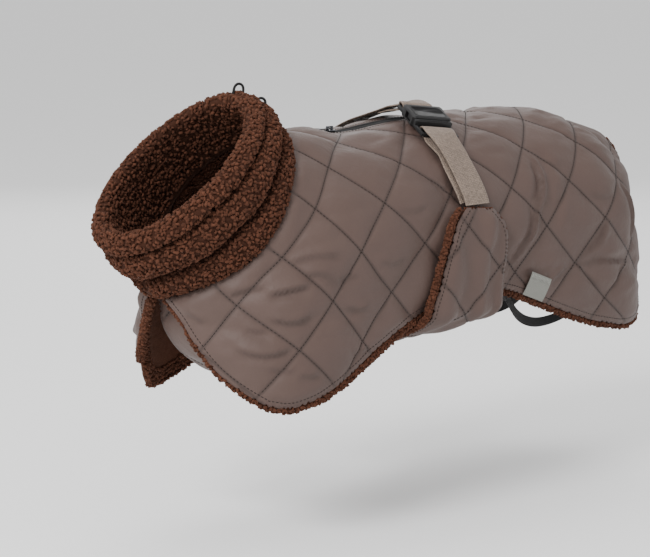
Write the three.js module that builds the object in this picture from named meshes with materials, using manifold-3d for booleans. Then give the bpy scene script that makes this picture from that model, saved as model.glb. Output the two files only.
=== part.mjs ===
// Quilted dog winter coat, as worn: fleece-lined back panel with a zipped leash slit,
// scrunched fleece collar, belly panel with side flaps, webbing strap and buckle.
// Millimetres. The head end is -X, the wearer's left side is -Y, +Z is up.
// The origin lies on the wearer's back, at the fleece's inner face in the middle of the spine.
import * as THREE from 'three';
import Module from 'manifold-3d';

const wasm = await Module();
wasm.setup();

// Driving sizes of the body form
const SPINE_TOP = 5.4;          // shell's inner face above the wearer's back
const HALF_WIDTH = 99;          // shell's inner face from the middle plane, at the widest
const CROWN_DROP = 97;          // from the spine down to the widest level
const CROWN_GIRTH = 154;        // measured over the cloth, from the spine to the widest level
const SIDE_LEAN = 3;            // degrees by which the sides lean in below that
const CHEST_START = -225;       // where the panel starts to turn round the chest
const CHEST_RADIUS = 101;
const RUMP_START = 118;         // where it starts to turn round the rump
const RUMP_RADIUS = 105;
const RUMP_FLARE = 0.22;        // how far the lobes are pushed out rearwards, per mm of girth
const FLARE_GIRTH = 130;
const TAIL_DROP = 22;
const WITHERS_DIP = 7;
const NECK_TOP = { x: -199, z: 10 };
const NECK_BOTTOM = { x: -325, z: -125.5 };
const NECK_PINCH = 0.2;         // share by which the form narrows at the neck seam
const PINCH_REACH = 45;

// Cloth
const SEAM_GAP = 0.5;
const SHELL_THICK = 1.2;        // nylon with its wadding, along a quilting line
const QUILT_HEIGHT = 4.6;       // how far a diamond's middle stands above the line
const LINING_THICK = 5;
const DIAMOND_LENGTH = 79.2;    // a diamond's diagonal along the spine
const DIAMOND_GIRTH = 75.6;     // and round the body
const DIAMOND_PHASE = -119;     // a crossing of the quilting lines on the spine
const CELLS = 4;                // grid cells along one side of a diamond, outside
const PLAIN_CELLS = 2;          // and on the plain faces

const smooth = (value, low, high) => {
  const t = Math.min(Math.max((value - low) / (high - low), 0), 1);
  return t * t * (3 - 2 * t);
};
const degrees = Math.PI / 180;

// The worn form. Along runs down the spine, girth is measured over the cloth from the spine,
// negative on the wearer's left. Lift is the distance out of the shell's inner face.
function formPoint(along, girth) {
  const side = girth < 0 ? -1 : 1;
  const down = Math.abs(girth);
  const turn = Math.min(down, CROWN_GIRTH) / CROWN_GIRTH * Math.PI / 2;
  const below = Math.max(down - CROWN_GIRTH, 0);
  const reach = HALF_WIDTH * Math.sin(turn) - below * Math.sin(SIDE_LEAN * degrees);
  let z = SPINE_TOP - CROWN_DROP * (1 - Math.cos(turn)) - below * Math.cos(SIDE_LEAN * degrees);
  const chestBend = Math.max(smooth(down, 20, 150), 1e-4) / CHEST_RADIUS;
  const rumpBend = Math.max(smooth(down, 0, 150), 1e-4) / RUMP_RADIUS;
  let x = along;
  let inward = 0;
  if (along < CHEST_START) {
    const angle = chestBend * (CHEST_START - along);
    x = CHEST_START - Math.sin(angle) / chestBend;
    inward = (1 - Math.cos(angle)) / chestBend;
  } else if (along > RUMP_START) {
    const angle = rumpBend * (along - RUMP_START);
    x = RUMP_START + Math.sin(angle) / rumpBend;
    inward = (1 - Math.cos(angle)) / rumpBend;
  }
  z -= TAIL_DROP * smooth(along, 120, 230) * (1 - smooth(down, 60, 150));
  z -= WITHERS_DIP * Math.exp(-(((along + 135) / 55) ** 2)) * (1 - smooth(down, 20, 110));
  x += RUMP_FLARE * (down - FLARE_GIRTH) * smooth(along, 40, 215);
  const length = Math.hypot(NECK_BOTTOM.x - NECK_TOP.x, NECK_BOTTOM.z - NECK_TOP.z);
  const normalX = (NECK_BOTTOM.z - NECK_TOP.z) / length;
  const normalZ = -(NECK_BOTTOM.x - NECK_TOP.x) / length;
  const fromNeck = Math.min((x - NECK_TOP.x) * normalX + (z - NECK_TOP.z) * normalZ, 0);
  const pinch = 1 - NECK_PINCH * Math.exp(-((fromNeck / PINCH_REACH) ** 2));
  return new THREE.Vector3(x, side * (reach - inward) * pinch, z);
}

// Outward normal of any surface given as a function of two parameters
function normalOf(surface, u, v, step = 0.5) {
  const alongU = surface(u + step, v).sub(surface(u - step, v));
  const alongV = surface(u, v + step).sub(surface(u, v - step));
  return alongU.cross(alongV).normalize();
}

const onCoat = (along, girth, lift = 0) =>
  formPoint(along, girth).addScaledVector(normalOf(formPoint, along, girth), lift);

// Belly panel. Its middle line runs from the rear edge under the belly, forward between the
// front legs and up the chest, to the neck seam. Each row is a point of that line.
const BELLY_LINE = [
  { x: -25, z: -183 }, { x: -70, z: -187 }, { x: -121, z: -192 }, { x: -160, z: -199 },
  { x: -200, z: -204 }, { x: -235, z: -203 }, { x: -261, z: -194 }, { x: -281, z: -181 },
  { x: -295, z: -165 }, { x: -303, z: -150 }, { x: -306, z: -137 },
];
const FLAP_LIFT = 10.6;         // flap shell's inner face above the back panel's
const FLAP_JOIN_GIRTH = 213;    // where the flap has passed the hem and turns under
const BELLY_REACH = 117;        // over the cloth, from the middle line to there
const BIB_CURVE = { width: 108, depth: 130 };
const bellyCurve = new THREE.CatmullRomCurve3(
  BELLY_LINE.map((row) => new THREE.Vector3(row.x, 0, row.z)), false, 'centripetal');
bellyCurve.arcLengthDivisions = 400;
const BELLY_LENGTH = bellyCurve.getLength();

// From is measured along the middle line from the rear edge, across over the cloth from it
function bellyPoint(from, across) {
  const share = Math.min(Math.max(from / BELLY_LENGTH, 0), 1);
  const middle = bellyCurve.getPointAt(share);
  const tangent = bellyCurve.getTangentAt(share);
  middle.addScaledVector(tangent, from - share * BELLY_LENGTH);
  const side = across < 0 ? -1 : 1;
  const over = Math.abs(across);
  if (over > BELLY_REACH) {
    return onCoat(middle.x, side * (FLAP_JOIN_GIRTH - (over - BELLY_REACH)), FLAP_LIFT);
  }
  // Under the belly the cloth hangs nearly straight from the side to the middle line
  const join = onCoat(middle.x, side * FLAP_JOIN_GIRTH, FLAP_LIFT);
  const hung = new THREE.CubicBezierCurve3(middle, middle.clone().add(new THREE.Vector3(0, side * 40, 7)),
    join.clone().add(new THREE.Vector3(0, -side * 4, -13)), join);
  hung.arcLengthDivisions = 24;
  const under = hung.getPointAt(over / BELLY_REACH);
  // Up the chest it is part of an ellipse, square to the middle line
  const chest = smooth(-middle.x, 150, 240);
  if (!chest) return under;
  const angle = Math.min(over / BIB_CURVE.width, Math.PI / 2);
  const bib = middle.clone();
  bib.y = side * BIB_CURVE.width * Math.sin(angle);
  const inward = new THREE.Vector3(-tangent.z, 0, -tangent.x).normalize();
  bib.addScaledVector(inward, BIB_CURVE.depth * (1 - Math.cos(angle)));
  return under.lerp(bib, chest);
}
// The belly panel faces down at its middle, so its outward side is the other one
const onBellyOut = (from, across, lift = 0) =>
  bellyPoint(from, across).addScaledVector(normalOf(bellyPoint, from, across), lift);

// Outlines, cut flat. Each row is a point on the wearer's left half: along the spine, and girth.
const NECK_SEAM = [
  { along: -206, girth: 0 }, { along: -213, girth: 35 }, { along: -225, girth: 69 },
  { along: -236, girth: 93 }, { along: -256, girth: 130 }, { along: -284, girth: 160 },
  { along: -321, girth: 176 }, { along: -353, girth: 183 }, { along: -376, girth: 186 },
];
const FRONT_EDGE = [
  { along: -376, girth: 186 }, { along: -357, girth: 201 }, { along: -342, girth: 221 },
  { along: -320, girth: 247 }, { along: -300, girth: 262 }, { along: -284, girth: 272 },
];
const HEM = [
  { along: -284, girth: 272 }, { along: -266, girth: 275 }, { along: -245, girth: 271 },
  { along: -220, girth: 262 }, { along: -168, girth: 233 }, { along: -115, girth: 210 },
  { along: -60, girth: 200 }, { along: -19, girth: 202 }, { along: 39, girth: 221 },
  { along: 114, girth: 249 }, { along: 150, girth: 257 }, { along: 180, girth: 253 },
  { along: 204, girth: 236 },
];
const REAR_EDGE = [
  { along: 204, girth: 236 }, { along: 221, girth: 200 }, { along: 227, girth: 150 },
  { along: 226, girth: 100 }, { along: 221, girth: 45 }, { along: 203, girth: 0 },
];
const ROLL_WIDTH = 13;          // the far front edge is turned out into a roll this wide
const ZIP_FRONT = -142;
const ZIP_REAR = -26;
const SLIT_HALF = 7.5;
const OUTLINE_STEP = 13;

// Points along a smooth line through the rows, evenly spaced
function throughRows(rows, step = OUTLINE_STEP) {
  const curve = new THREE.SplineCurve(rows.map((row) => new THREE.Vector2(row.along, row.girth)));
  curve.arcLengthDivisions = 200;
  return curve.getSpacedPoints(Math.max(1, Math.round(curve.getLength() / step)));
}

// Moves a line's points sideways, by an amount that may change along it
function widened(points, amount) {
  return points.map((point, i) => {
    const next = points[Math.min(i + 1, points.length - 1)];
    const last = points[Math.max(i - 1, 0)];
    const direction = next.clone().sub(last).normalize();
    const by = typeof amount === 'function' ? amount(i / (points.length - 1)) : amount;
    return point.clone().add(new THREE.Vector2(direction.y, -direction.x).multiplyScalar(-by));
  });
}

// One half of the back panel's outline, from the spine at the neck to the spine at the tail
function halfOutline(frontBy, hemBy, rearBy) {
  let neck = throughRows(NECK_SEAM);
  let front = widened(throughRows(FRONT_EDGE), frontBy);
  if (frontBy === turnedOut) {
    // An edge that is turned out starts further back on the neck seam
    const seamGirth = (along) => {
      const i = neck.findIndex((point) => point.x <= along);
      return i < 0 ? Infinity : neck[i].y;
    };
    front = front.filter((point) => point.y > seamGirth(point.x) + 2);
    neck = neck.filter((point) => point.x > front[0].x + 2);
  }
  const hem = widened(throughRows(HEM), hemBy);
  const rear = widened(throughRows(REAR_EDGE), rearBy);
  rear[rear.length - 1].y = 0;
  return [...neck, ...front.slice(1), ...hem.slice(1), ...rear.slice(1)];
}
function backOutline(nearSizes, farSizes) {
  const near = halfOutline(...nearSizes).map((point) => new THREE.Vector2(point.x, -point.y));
  const far = halfOutline(...farSizes);
  return [...near, ...far.slice(1, -1).reverse()];
}

// A lens-shaped slit along the spine
function slitOutline(half, front, rear) {
  const count = 15;
  const points = [];
  for (const side of [-1, 1]) {
    for (let i = 0; i < count; i += 1) {
      const share = side < 0 ? i / count : 1 - i / count;
      const wide = half * Math.abs(Math.sin(Math.PI * share)) ** 0.35;
      points.push(new THREE.Vector2(front + (rear - front) * share, side * (share % 1 ? wide : 0)));
    }
  }
  return points;
}

function distanceToLine(x, y, points) {
  let best = Infinity;
  for (let i = 0; i < points.length; i += 1) {
    const a = points[i];
    const b = points[(i + 1) % points.length];
    const dx = b.x - a.x;
    const dy = b.y - a.y;
    const t = Math.min(Math.max(((x - a.x) * dx + (y - a.y) * dy) / (dx * dx + dy * dy || 1), 0), 1);
    best = Math.min(best, Math.hypot(x - a.x - t * dx, y - a.y - t * dy));
  }
  return best;
}

// Solids from arrays and back
function toSolid(positions, triangles, keepFaces = false) {
  const options = {
    numProp: 3,
    vertProperties: Float32Array.from(positions),
    triVerts: Uint32Array.from(triangles),
  };
  if (keepFaces) options.faceID = Uint32Array.from({ length: triangles.length / 3 }, (_, i) => i);
  return new wasm.Manifold(new wasm.Mesh(options));
}
function solidOf(geometry) {
  const index = geometry.index ? geometry.index.array : geometry.attributes.position.array.map((_, i) => i);
  const source = geometry.attributes.position.array;
  const corners = geometry.index ? index : index.slice(0, source.length / 3);
  const places = new Map();
  const positions = [];
  const triangles = [];
  for (const corner of corners) {
    const point = [0, 1, 2].map((k) => Math.round(source[corner * 3 + k] * 1e4) / 1e4);
    const key = point.join();
    if (!places.has(key)) {
      places.set(key, positions.length / 3);
      positions.push(...point);
    }
    triangles.push(places.get(key));
  }
  const whole = [];
  for (let i = 0; i < triangles.length; i += 3) {
    const [a, b, c] = triangles.slice(i, i + 3);
    if (a !== b && b !== c && c !== a) whole.push(a, b, c);
  }
  return toSolid(positions, whole);
}
function geometryOf(solid, place = (x, y, z) => new THREE.Vector3(x, y, z)) {
  const mesh = solid.getMesh();
  const positions = [];
  for (let i = 0; i < mesh.vertProperties.length; i += mesh.numProp) {
    positions.push(...place(...mesh.vertProperties.slice(i, i + 3)).toArray());
  }
  const geometry = new THREE.BufferGeometry();
  geometry.setAttribute('position', new THREE.Float32BufferAttribute(positions, 3));
  geometry.setIndex([...mesh.triVerts]);
  return geometry;
}

// A flat slab on the quilt's own grid, cut to an outline. Its grid lines run along the
// quilting lines, so every quilting line is a line of edges.
function flatSlab({ outline, holes = [], phase, outer, inner, outerCells, innerCells, diamonds }) {
  const positions = [];
  const triangles = [];
  const [first, last] = diamonds;
  const span = last - first;
  const grid = (cells, height) => {
    const count = span * cells;
    const start = positions.length / 3;
    for (let i = 0; i <= count; i += 1) {
      for (let j = 0; j <= count; j += 1) {
        const p = first + i / cells;
        const q = first + j / cells;
        const x = phase + DIAMOND_LENGTH * (p + q) / 2;
        const y = DIAMOND_GIRTH * (p - q) / 2;
        positions.push(x, y, height(x, y, p, q));
      }
    }
    return (i, j) => start + i * (count + 1) + j;
  };
  const top = grid(outerCells, outer);
  const bottom = grid(innerCells, inner);
  const faces = (at, count, flip) => {
    for (let i = 0; i < count; i += 1) {
      for (let j = 0; j < count; j += 1) {
        const [a, b, c, d] = [at(i, j), at(i + 1, j), at(i + 1, j + 1), at(i, j + 1)];
        triangles.push(...(flip ? [a, b, c, a, c, d] : [a, c, b, a, d, c]));
      }
    }
  };
  faces(top, span * outerCells, false);
  faces(bottom, span * innerCells, true);
  const ratio = outerCells / innerCells;
  const rim = (upper, lower) => {
    for (let k = 0; k < span * innerCells; k += 1) {
      for (let m = 0; m < ratio; m += 1) {
        triangles.push(lower(k), upper(k * ratio + m), upper(k * ratio + m + 1));
      }
      triangles.push(lower(k), upper((k + 1) * ratio), lower(k + 1));
    }
  };
  const farTop = span * outerCells;
  const farBottom = span * innerCells;
  rim((k) => top(k, 0), (k) => bottom(k, 0));
  rim((k) => top(farTop - k, farTop), (k) => bottom(farBottom - k, farBottom));
  rim((k) => top(0, farTop - k), (k) => bottom(0, farBottom - k));
  rim((k) => top(farTop, k), (k) => bottom(farBottom, k));
  const shape = new THREE.Shape(outline);
  shape.holes = holes.map((points) => new THREE.Path(points));
  const cutter = new THREE.ExtrudeGeometry(shape, { depth: 60, bevelEnabled: false });
  cutter.translate(0, 0, -30);
  return toSolid(positions, triangles, true).intersect(solidOf(cutter));
}

// How far a point of a diamond stands above the quilting lines
function pillow(p, q) {
  const rise = Math.abs(Math.sin(Math.PI * p) * Math.sin(Math.PI * q));
  return rise ** 0.62;
}

// Largest folds of the back panel: each a soft ridge beside a trough, between two points
const FOLDS = [
  { fromAlong: 52, fromGirth: -92, toAlong: 42, toGirth: -138, width: 9, height: -3.6 },
  { fromAlong: 42, fromGirth: -138, toAlong: 0, toGirth: -180, width: 8, height: -3.4 },
  { fromAlong: 66, fromGirth: -96, toAlong: 58, toGirth: -146, width: 9, height: 2.2 },
  { fromAlong: 85, fromGirth: -192, toAlong: 165, toGirth: -204, width: 8, height: -3 },
  { fromAlong: 85, fromGirth: -205, toAlong: 160, toGirth: -217, width: 8, height: 2.2 },
  { fromAlong: -8, fromGirth: -190, toAlong: 40, toGirth: -196, width: 6, height: -2.6 },
  { fromAlong: 50, fromGirth: 95, toAlong: 30, toGirth: 150, width: 9, height: -3.4 },
  { fromAlong: 80, fromGirth: 200, toAlong: 160, toGirth: 208, width: 8, height: -3 },
  { fromAlong: -250, fromGirth: -205, toAlong: -205, toGirth: -200, width: 7, height: -2.2 },
  { fromAlong: -330, fromGirth: -205, toAlong: -285, toGirth: -212, width: 7, height: -2 },
];
function foldHeight(along, girth) {
  let height = 0;
  for (const fold of FOLDS) {
    const dx = fold.toAlong - fold.fromAlong;
    const dy = fold.toGirth - fold.fromGirth;
    const t = ((along - fold.fromAlong) * dx + (girth - fold.fromGirth) * dy) / (dx * dx + dy * dy);
    const held = Math.min(Math.max(t, 0), 1);
    const away = Math.hypot(along - fold.fromAlong - held * dx, girth - fold.fromGirth - held * dy);
    height += fold.height * Math.exp(-((away / fold.width) ** 2));
  }
  return height;
}

// The far front edge is set back by the roll's width, down to the lobe's tip
const turnedOut = (share) => -ROLL_WIDTH * (1 - smooth(share, 0.7, 1));
const shellOutline = backOutline([0, 0, 0], [turnedOut, 0, 0]);
const slit = slitOutline(SLIT_HALF, ZIP_FRONT, ZIP_REAR);
const SEAM_FADE = 11;
const SLIT_FADE = 20;
function shellHeight(along, girth, p, q) {
  const edge = distanceToLine(along, girth, shellOutline);
  const fade = smooth(edge, 0, SEAM_FADE) * smooth(distanceToLine(along, girth, slit), 2, SLIT_FADE);
  const raised = QUILT_HEIGHT * pillow(p, q) + foldHeight(along, girth) * pillow(p, q) ** 0.4;
  return SHELL_THICK + Math.max(raised, 0) * fade;
}
const backShell = geometryOf(flatSlab({
  outline: shellOutline, holes: [slit], phase: DIAMOND_PHASE, diamonds: [-8, 9],
  outer: shellHeight, inner: () => 0, outerCells: CELLS, innerCells: PLAIN_CELLS,
}), onCoat);

// The fleece lining shows as a rim all round: narrow in front, wider along the hem
const hemRim = (share) => 3 + 4.5 * Math.sin(Math.PI * Math.min(share / 0.45, 1)) ** 2;
const liningOutline = backOutline([2.5, hemRim, 3], [turnedOut, hemRim, 3]);
const backLining = geometryOf(flatSlab({
  outline: liningOutline, holes: [slit], phase: DIAMOND_PHASE, diamonds: [-8, 9],
  outer: () => -SEAM_GAP, inner: () => -SEAM_GAP - LINING_THICK,
  outerCells: PLAIN_CELLS, innerCells: PLAIN_CELLS,
}), onCoat);

// Belly panel: flaps at both sides, a narrow bib between the front legs
const BELLY_EDGE = [            // from the rear edge, and across from the middle line
  { along: 0, girth: 0 }, { along: 1, girth: 60 }, { along: 3, girth: 115 },
  { along: 2, girth: 145 }, { along: -1, girth: 166 }, { along: 4, girth: 189 },
  { along: 16, girth: 200 },
];
const FLAP_TOP = [{ along: 16, girth: 200 }, { along: 49, girth: 203 }];
const FLAP_FRONT = [
  { along: 49, girth: 203 }, { along: 64, girth: 191 }, { along: 76, girth: 168 },
  { along: 84, girth: 142 }, { along: 92, girth: 120 }, { along: 94, girth: 85 },
  { along: 97, girth: 52 }, { along: 109, girth: 34 }, { along: 134, girth: 24 },
];
const BIB_EDGE = [
  { along: 134, girth: 24 }, { along: 172, girth: 20 }, { along: 230, girth: 21 },
  { along: 290, girth: 24 }, { along: 329, girth: 22 },
];
const BIB_TOP = [{ along: 329, girth: 22 }, { along: 331, girth: 0 }];
const FLAP_LINING_THICK = 3.4;
const FLAP_QUILT_HEIGHT = 3;
const BELLY_PHASE = 10;
const bellyHalf = [BELLY_EDGE, FLAP_TOP, FLAP_FRONT, BIB_EDGE, BIB_TOP]
  .flatMap((rows, i) => throughRows(rows, 11).slice(i ? 1 : 0));
const bellyOutline = [
  ...bellyHalf,
  ...bellyHalf.slice(1, -1).reverse().map((point) => new THREE.Vector2(point.x, -point.y)),
];
function bellyHeight(from, across, p, q) {
  const fade = smooth(distanceToLine(from, across, bellyOutline), 0, 9);
  const creases = 0.9 * Math.sin(from / 7 + across / 60) * smooth(Math.abs(across), 40, 90);
  return SHELL_THICK + Math.max(FLAP_QUILT_HEIGHT * pillow(p, q) + creases, 0) * fade;
}
const bellyShell = geometryOf(flatSlab({
  outline: bellyOutline, phase: BELLY_PHASE, diamonds: [-4, 8],
  outer: bellyHeight, inner: () => 0, outerCells: CELLS, innerCells: CELLS,
}), onBellyOut);
const bellyLining = geometryOf(flatSlab({
  outline: bellyOutline, phase: BELLY_PHASE, diamonds: [-4, 8],
  outer: () => -SEAM_GAP, inner: () => -SEAM_GAP - FLAP_LINING_THICK,
  outerCells: CELLS, innerCells: CELLS,
}), onBellyOut);

// A section carried along frames, closed at both ends
function sweep(frames, section) {
  const positions = [];
  const triangles = [];
  const count = section.length;
  frames.forEach((frame, i) => {
    for (const [across, up] of frame.section ?? section) {
      const point = frame.at.clone().addScaledVector(frame.side, across).addScaledVector(frame.up, up);
      positions.push(...point.toArray());
    }
    if (!i) return;
    for (let j = 0; j < count; j += 1) {
      const next = (j + 1) % count;
      const [a, b, c, d] = [(i - 1) * count + j, (i - 1) * count + next, i * count + next, i * count + j];
      triangles.push(a, b, c, a, c, d);
    }
  });
  const end = (frames.length - 1) * count;
  for (let j = 1; j < count - 1; j += 1) {
    triangles.push(0, j + 1, j, end, end + j, end + j + 1);
  }
  return outwards(positions, triangles);
}
function outwards(positions, triangles) {
  const corner = (i) => new THREE.Vector3(...positions.slice(i * 3, i * 3 + 3));
  let volume = 0;
  for (let i = 0; i < triangles.length; i += 3) {
    const [a, b, c] = triangles.slice(i, i + 3).map(corner);
    volume += a.dot(b.cross(c));
  }
  if (volume < 0) triangles.reverse();
  const geometry = new THREE.BufferGeometry();
  geometry.setAttribute('position', new THREE.Float32BufferAttribute(positions, 3));
  geometry.setIndex(triangles);
  return geometry;
}
// Frames along points; up is given at each point, or one direction holds the width
function framesAlong(points, ups, held) {
  return points.map((at, i) => {
    const next = points[Math.min(i + 1, points.length - 1)];
    const last = points[Math.max(i - 1, 0)];
    const tangent = next.clone().sub(last).normalize();
    if (held) {
      const up = tangent.clone().cross(held).normalize();
      return { at, side: up.clone().cross(tangent).normalize(), up };
    }
    const side = tangent.clone().cross(ups[i]).normalize();
    return { at, side, up: side.clone().cross(tangent).normalize() };
  });
}
const rectangle = (width, thick) => [
  [-width / 2, -thick / 2], [width / 2, -thick / 2], [width / 2, thick / 2], [-width / 2, thick / 2],
];
const ellipse = (halfWidth, halfHeight, count) => Array.from({ length: count }, (_, i) => {
  const angle = 2 * Math.PI * i / count;
  return [halfWidth * Math.cos(angle), halfHeight * Math.sin(angle)];
});

// Fleece rolls along the far front edge and both flaps' front edges
const ROLL_HALF = { width: 5.8, height: 4.6 };
const FLAP_ROLL_HALF = { width: 4, height: 3.8 };
function rollAlong(points, place, normal, half) {
  const frames = framesAlong(points.map(place), points.map(normal));
  frames.forEach((frame, i) => {
    const end = Math.min(i, frames.length - 1 - i);
    const size = [0.55, 0.9, 1][Math.min(end, 2)];
    frame.section = ellipse(half.width * size, half.height * size, 8);
  });
  return sweep(frames, ellipse(1, 1, 8));
}
const farRollLine = widened(throughRows(FRONT_EDGE, 12), -ROLL_HALF.width - 0.4).slice(1, -3);
const lobeRoll = rollAlong(farRollLine, (point) => onCoat(point.x, point.y, 0.6),
  (point) => normalOf(formPoint, point.x, point.y), ROLL_HALF);
const flapRollLine = widened(throughRows(FLAP_FRONT, 11), FLAP_ROLL_HALF.width + 0.5).slice(1);
function flapRoll(side) {
  const points = flapRollLine.map((point) => new THREE.Vector2(point.x, side * point.y));
  return rollAlong(points, (point) => onBellyOut(point.x, point.y, -0.6),
    (point) => onBellyOut(point.x, point.y, 1).sub(onBellyOut(point.x, point.y, 0)).normalize(),
    FLAP_ROLL_HALF);
}

// Collar: a fleece tube from the neck seam to its top edge, pushed down into three rolls
const COLLAR_TOP = { backX: -243, backZ: 37, frontX: -378, frontZ: -73, halfWidth: 64 };
const COLLAR_HALF_THICK = 4.2;
const COLLAR_INSET = 6;
const COLLAR_ROLLS = [
  { from: 0, to: 0.3, height: 6 }, { from: 0.3, to: 0.65, height: 6.5 }, { from: 0.65, to: 1, height: 5 },
];
const CREASE_DEPTH = 2.4;
function collarGeometry() {
  const half = widened(throughRows(NECK_SEAM, 12), 0.45);
  const near = half.map((point, i) => ({ along: point.x, girth: -point.y, share: i / (half.length - 1) }));
  const far = half.map((point, i) => ({ along: point.x, girth: point.y, share: i / (half.length - 1) }));
  const stations = [...near, ...far.slice(1).reverse()];
  const centre = new THREE.Vector3((COLLAR_TOP.backX + COLLAR_TOP.frontX) / 2, 0,
    (COLLAR_TOP.backZ + COLLAR_TOP.frontZ) / 2);
  const toBack = new THREE.Vector3(COLLAR_TOP.backX, 0, COLLAR_TOP.backZ).sub(centre);
  const inset = 1 - COLLAR_INSET / toBack.length();
  const base = stations.map(({ along, girth, share }) => {
    const low = onCoat(along, girth, -2);
    const side = girth < 0 ? -1 : 1;
    const edge = share > 0 ? side * Math.sin(Math.PI * share) : 0;
    const high = centre.clone().addScaledVector(toBack, inset * Math.cos(Math.PI * share))
      .add(new THREE.Vector3(0, edge * (COLLAR_TOP.halfWidth - COLLAR_INSET), 0));
    return { low, high, skin: normalOf(formPoint, along, girth) };
  });
  const count = base.length;
  const positions = [];
  const rings = base.map(({ low, high, skin }, i) => {
    const ahead = base[(i + 1) % count];
    const behind = base[(i + count - 1) % count];
    const profile = [];
    const at = (t, out) => {
      const middle = low.clone().lerp(high, t);
      const round = ahead.low.clone().lerp(ahead.high, t).sub(behind.low.clone().lerp(behind.high, t));
      const outward = high.clone().sub(low).cross(round).normalize();
      if (outward.dot(skin) < 0) outward.negate();
      const normal = skin.clone().lerp(outward, smooth(t, 0, 0.16)).normalize();
      profile.push(middle.addScaledVector(normal, out));
    };
    for (const roll of COLLAR_ROLLS) {
      for (let k = 0; k < 4; k += 1) {
        const share = k / 4;
        const edge = roll.from && !k ? -CREASE_DEPTH : 0;
        at(roll.from + (roll.to - roll.from) * share,
          COLLAR_HALF_THICK + edge + roll.height * Math.sin(Math.PI * share) ** 0.7);
      }
    }
    at(1, COLLAR_HALF_THICK - 0.6);
    at(1.04, 0);
    for (const t of [0.98, 0.75, 0.5, 0.25, 0]) at(t, -COLLAR_HALF_THICK);
    return profile;
  });
  const triangles = [];
  const turn = rings[0].length;
  rings.forEach((profile, i) => {
    profile.forEach((point) => positions.push(...point.toArray()));
    for (let j = 0; j < turn; j += 1) {
      const nextRing = ((i + 1) % count) * turn;
      const next = (j + 1) % turn;
      const [a, b, c, d] = [i * turn + j, i * turn + next, nextRing + next, nextRing + j];
      triangles.push(a, b, c, a, c, d);
    }
  });
  return outwards(positions, triangles);
}

// Buckle: side-release, for 30 mm webbing. Its own frame: s across, u up the strap, n outwards
const WEBBING = { width: 30, thick: 1.5 };
const BUCKLE = {
  along: -56, girth: -42, lift: 12.2, tilt: 20, width: 38, thick: 10.5, mouth: -4, end: 30.5,
  bar: 2.6, barLift: -2, barThick: 2.6,
};
const buckleFrame = new THREE.Matrix4();
{
  const n = normalOf(formPoint, BUCKLE.along, BUCKLE.girth);
  const up = formPoint(BUCKLE.along, BUCKLE.girth + 1).sub(formPoint(BUCKLE.along, BUCKLE.girth - 1));
  up.normalize();
  const u = up.applyAxisAngle(n, -BUCKLE.tilt * degrees).normalize();
  const s = u.clone().cross(n).normalize();
  buckleFrame.makeBasis(s, u, n);
  buckleFrame.setPosition(onCoat(BUCKLE.along, BUCKLE.girth, BUCKLE.lift));
}
const inBuckle = (s, u, n) => new THREE.Vector3(s, u, n).applyMatrix4(buckleFrame);
const buckleDirection = (s, u, n) => new THREE.Vector3(s, u, n).transformDirection(buckleFrame);

function plate(points, low, high, bevel = 0) {
  const shape = new THREE.Shape(points.map(([x, y]) => new THREE.Vector2(x, y)));
  const geometry = new THREE.ExtrudeGeometry(shape, {
    depth: high - low - 2 * bevel, bevelEnabled: bevel > 0, bevelThickness: bevel, bevelSize: bevel,
    bevelOffset: -bevel, bevelSegments: 1,
  });
  geometry.translate(0, 0, low + bevel);
  return solidOf(geometry);
}
const block = (left, right, lower, upper, low, high) =>
  plate([[left, lower], [right, lower], [right, upper], [left, upper]], low, high);

function buckleFemale() {
  const { width, thick, mouth, end, bar, barLift, barThick } = BUCKLE;
  const w = width / 2;
  const outline = [
    [-w + 2, mouth], [w - 2, mouth], [w, mouth + 2], [w - 0.6, 8], [w, 17], [w - 1.4, 21],
    [-w + 1.4, 21], [-w, 17], [-w + 0.6, 8], [-w, mouth + 2],
  ];
  let solid = plate(outline, -thick / 2, thick / 2, 1.2);
  const loopLow = barLift - barThick / 2;
  const loopHigh = barLift + barThick / 2;
  solid = solid.add(block(-w + 0.8, -15.6, 20, end, loopLow, loopHigh));
  solid = solid.add(block(15.6, w - 0.8, 20, end, loopLow, loopHigh));
  solid = solid.add(block(-w + 0.8, w - 0.8, end - bar, end, loopLow, loopHigh));
  solid = solid.subtract(block(-15.5, 15.5, mouth - 1, 18, -3.6, 3.6));
  for (const side of [-1, 1]) {
    const [left, right] = side < 0 ? [-w - 1, -13] : [13, w + 1];
    solid = solid.subtract(block(left, right, 1, 12, -2.9, 2.9));
  }
  solid = solid.subtract(block(-9, 9, 2, 9, 4.2, 6));
  return geometryOf(solid, inBuckle);
}
const LADDER = { end: -24.5, bar: 3.2, gap: 5 };
function buckleMale() {
  const { width, mouth, bar, barLift, barThick } = BUCKLE;
  const w = width / 2 - 1;
  const low = barLift - barThick / 2;
  const high = barLift + barThick / 2;
  let solid = plate([[-w, -8], [w, -8], [w, mouth - 0.3], [-w, mouth - 0.3]], -4, 3.6, 0.8);
  solid = solid.add(block(-w, -15.6, LADDER.end, -7, low, high));
  solid = solid.add(block(15.6, w, LADDER.end, -7, low, high));
  const secondBar = LADDER.end + LADDER.bar + LADDER.gap;
  solid = solid.add(block(-w, w, LADDER.end, LADDER.end + LADDER.bar, low, high));
  solid = solid.add(block(-w, w, secondBar, secondBar + bar, low, high));
  solid = solid.add(block(-3, 3, mouth - 1, 15, -2.4, 2.4));
  for (const side of [-1, 1]) {
    const arm = [[9.4, mouth - 1], [13, mouth - 1], [13.4, 2], [17.2, 3], [17.2, 9.5], [12, 14], [9.6, 8]];
    const points = arm.map(([x, y]) => [side * x, y]);
    solid = solid.add(plate(side < 0 ? points.reverse() : points, -2.3, 2.3));
  }
  return geometryOf(solid, inBuckle);
}

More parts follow.
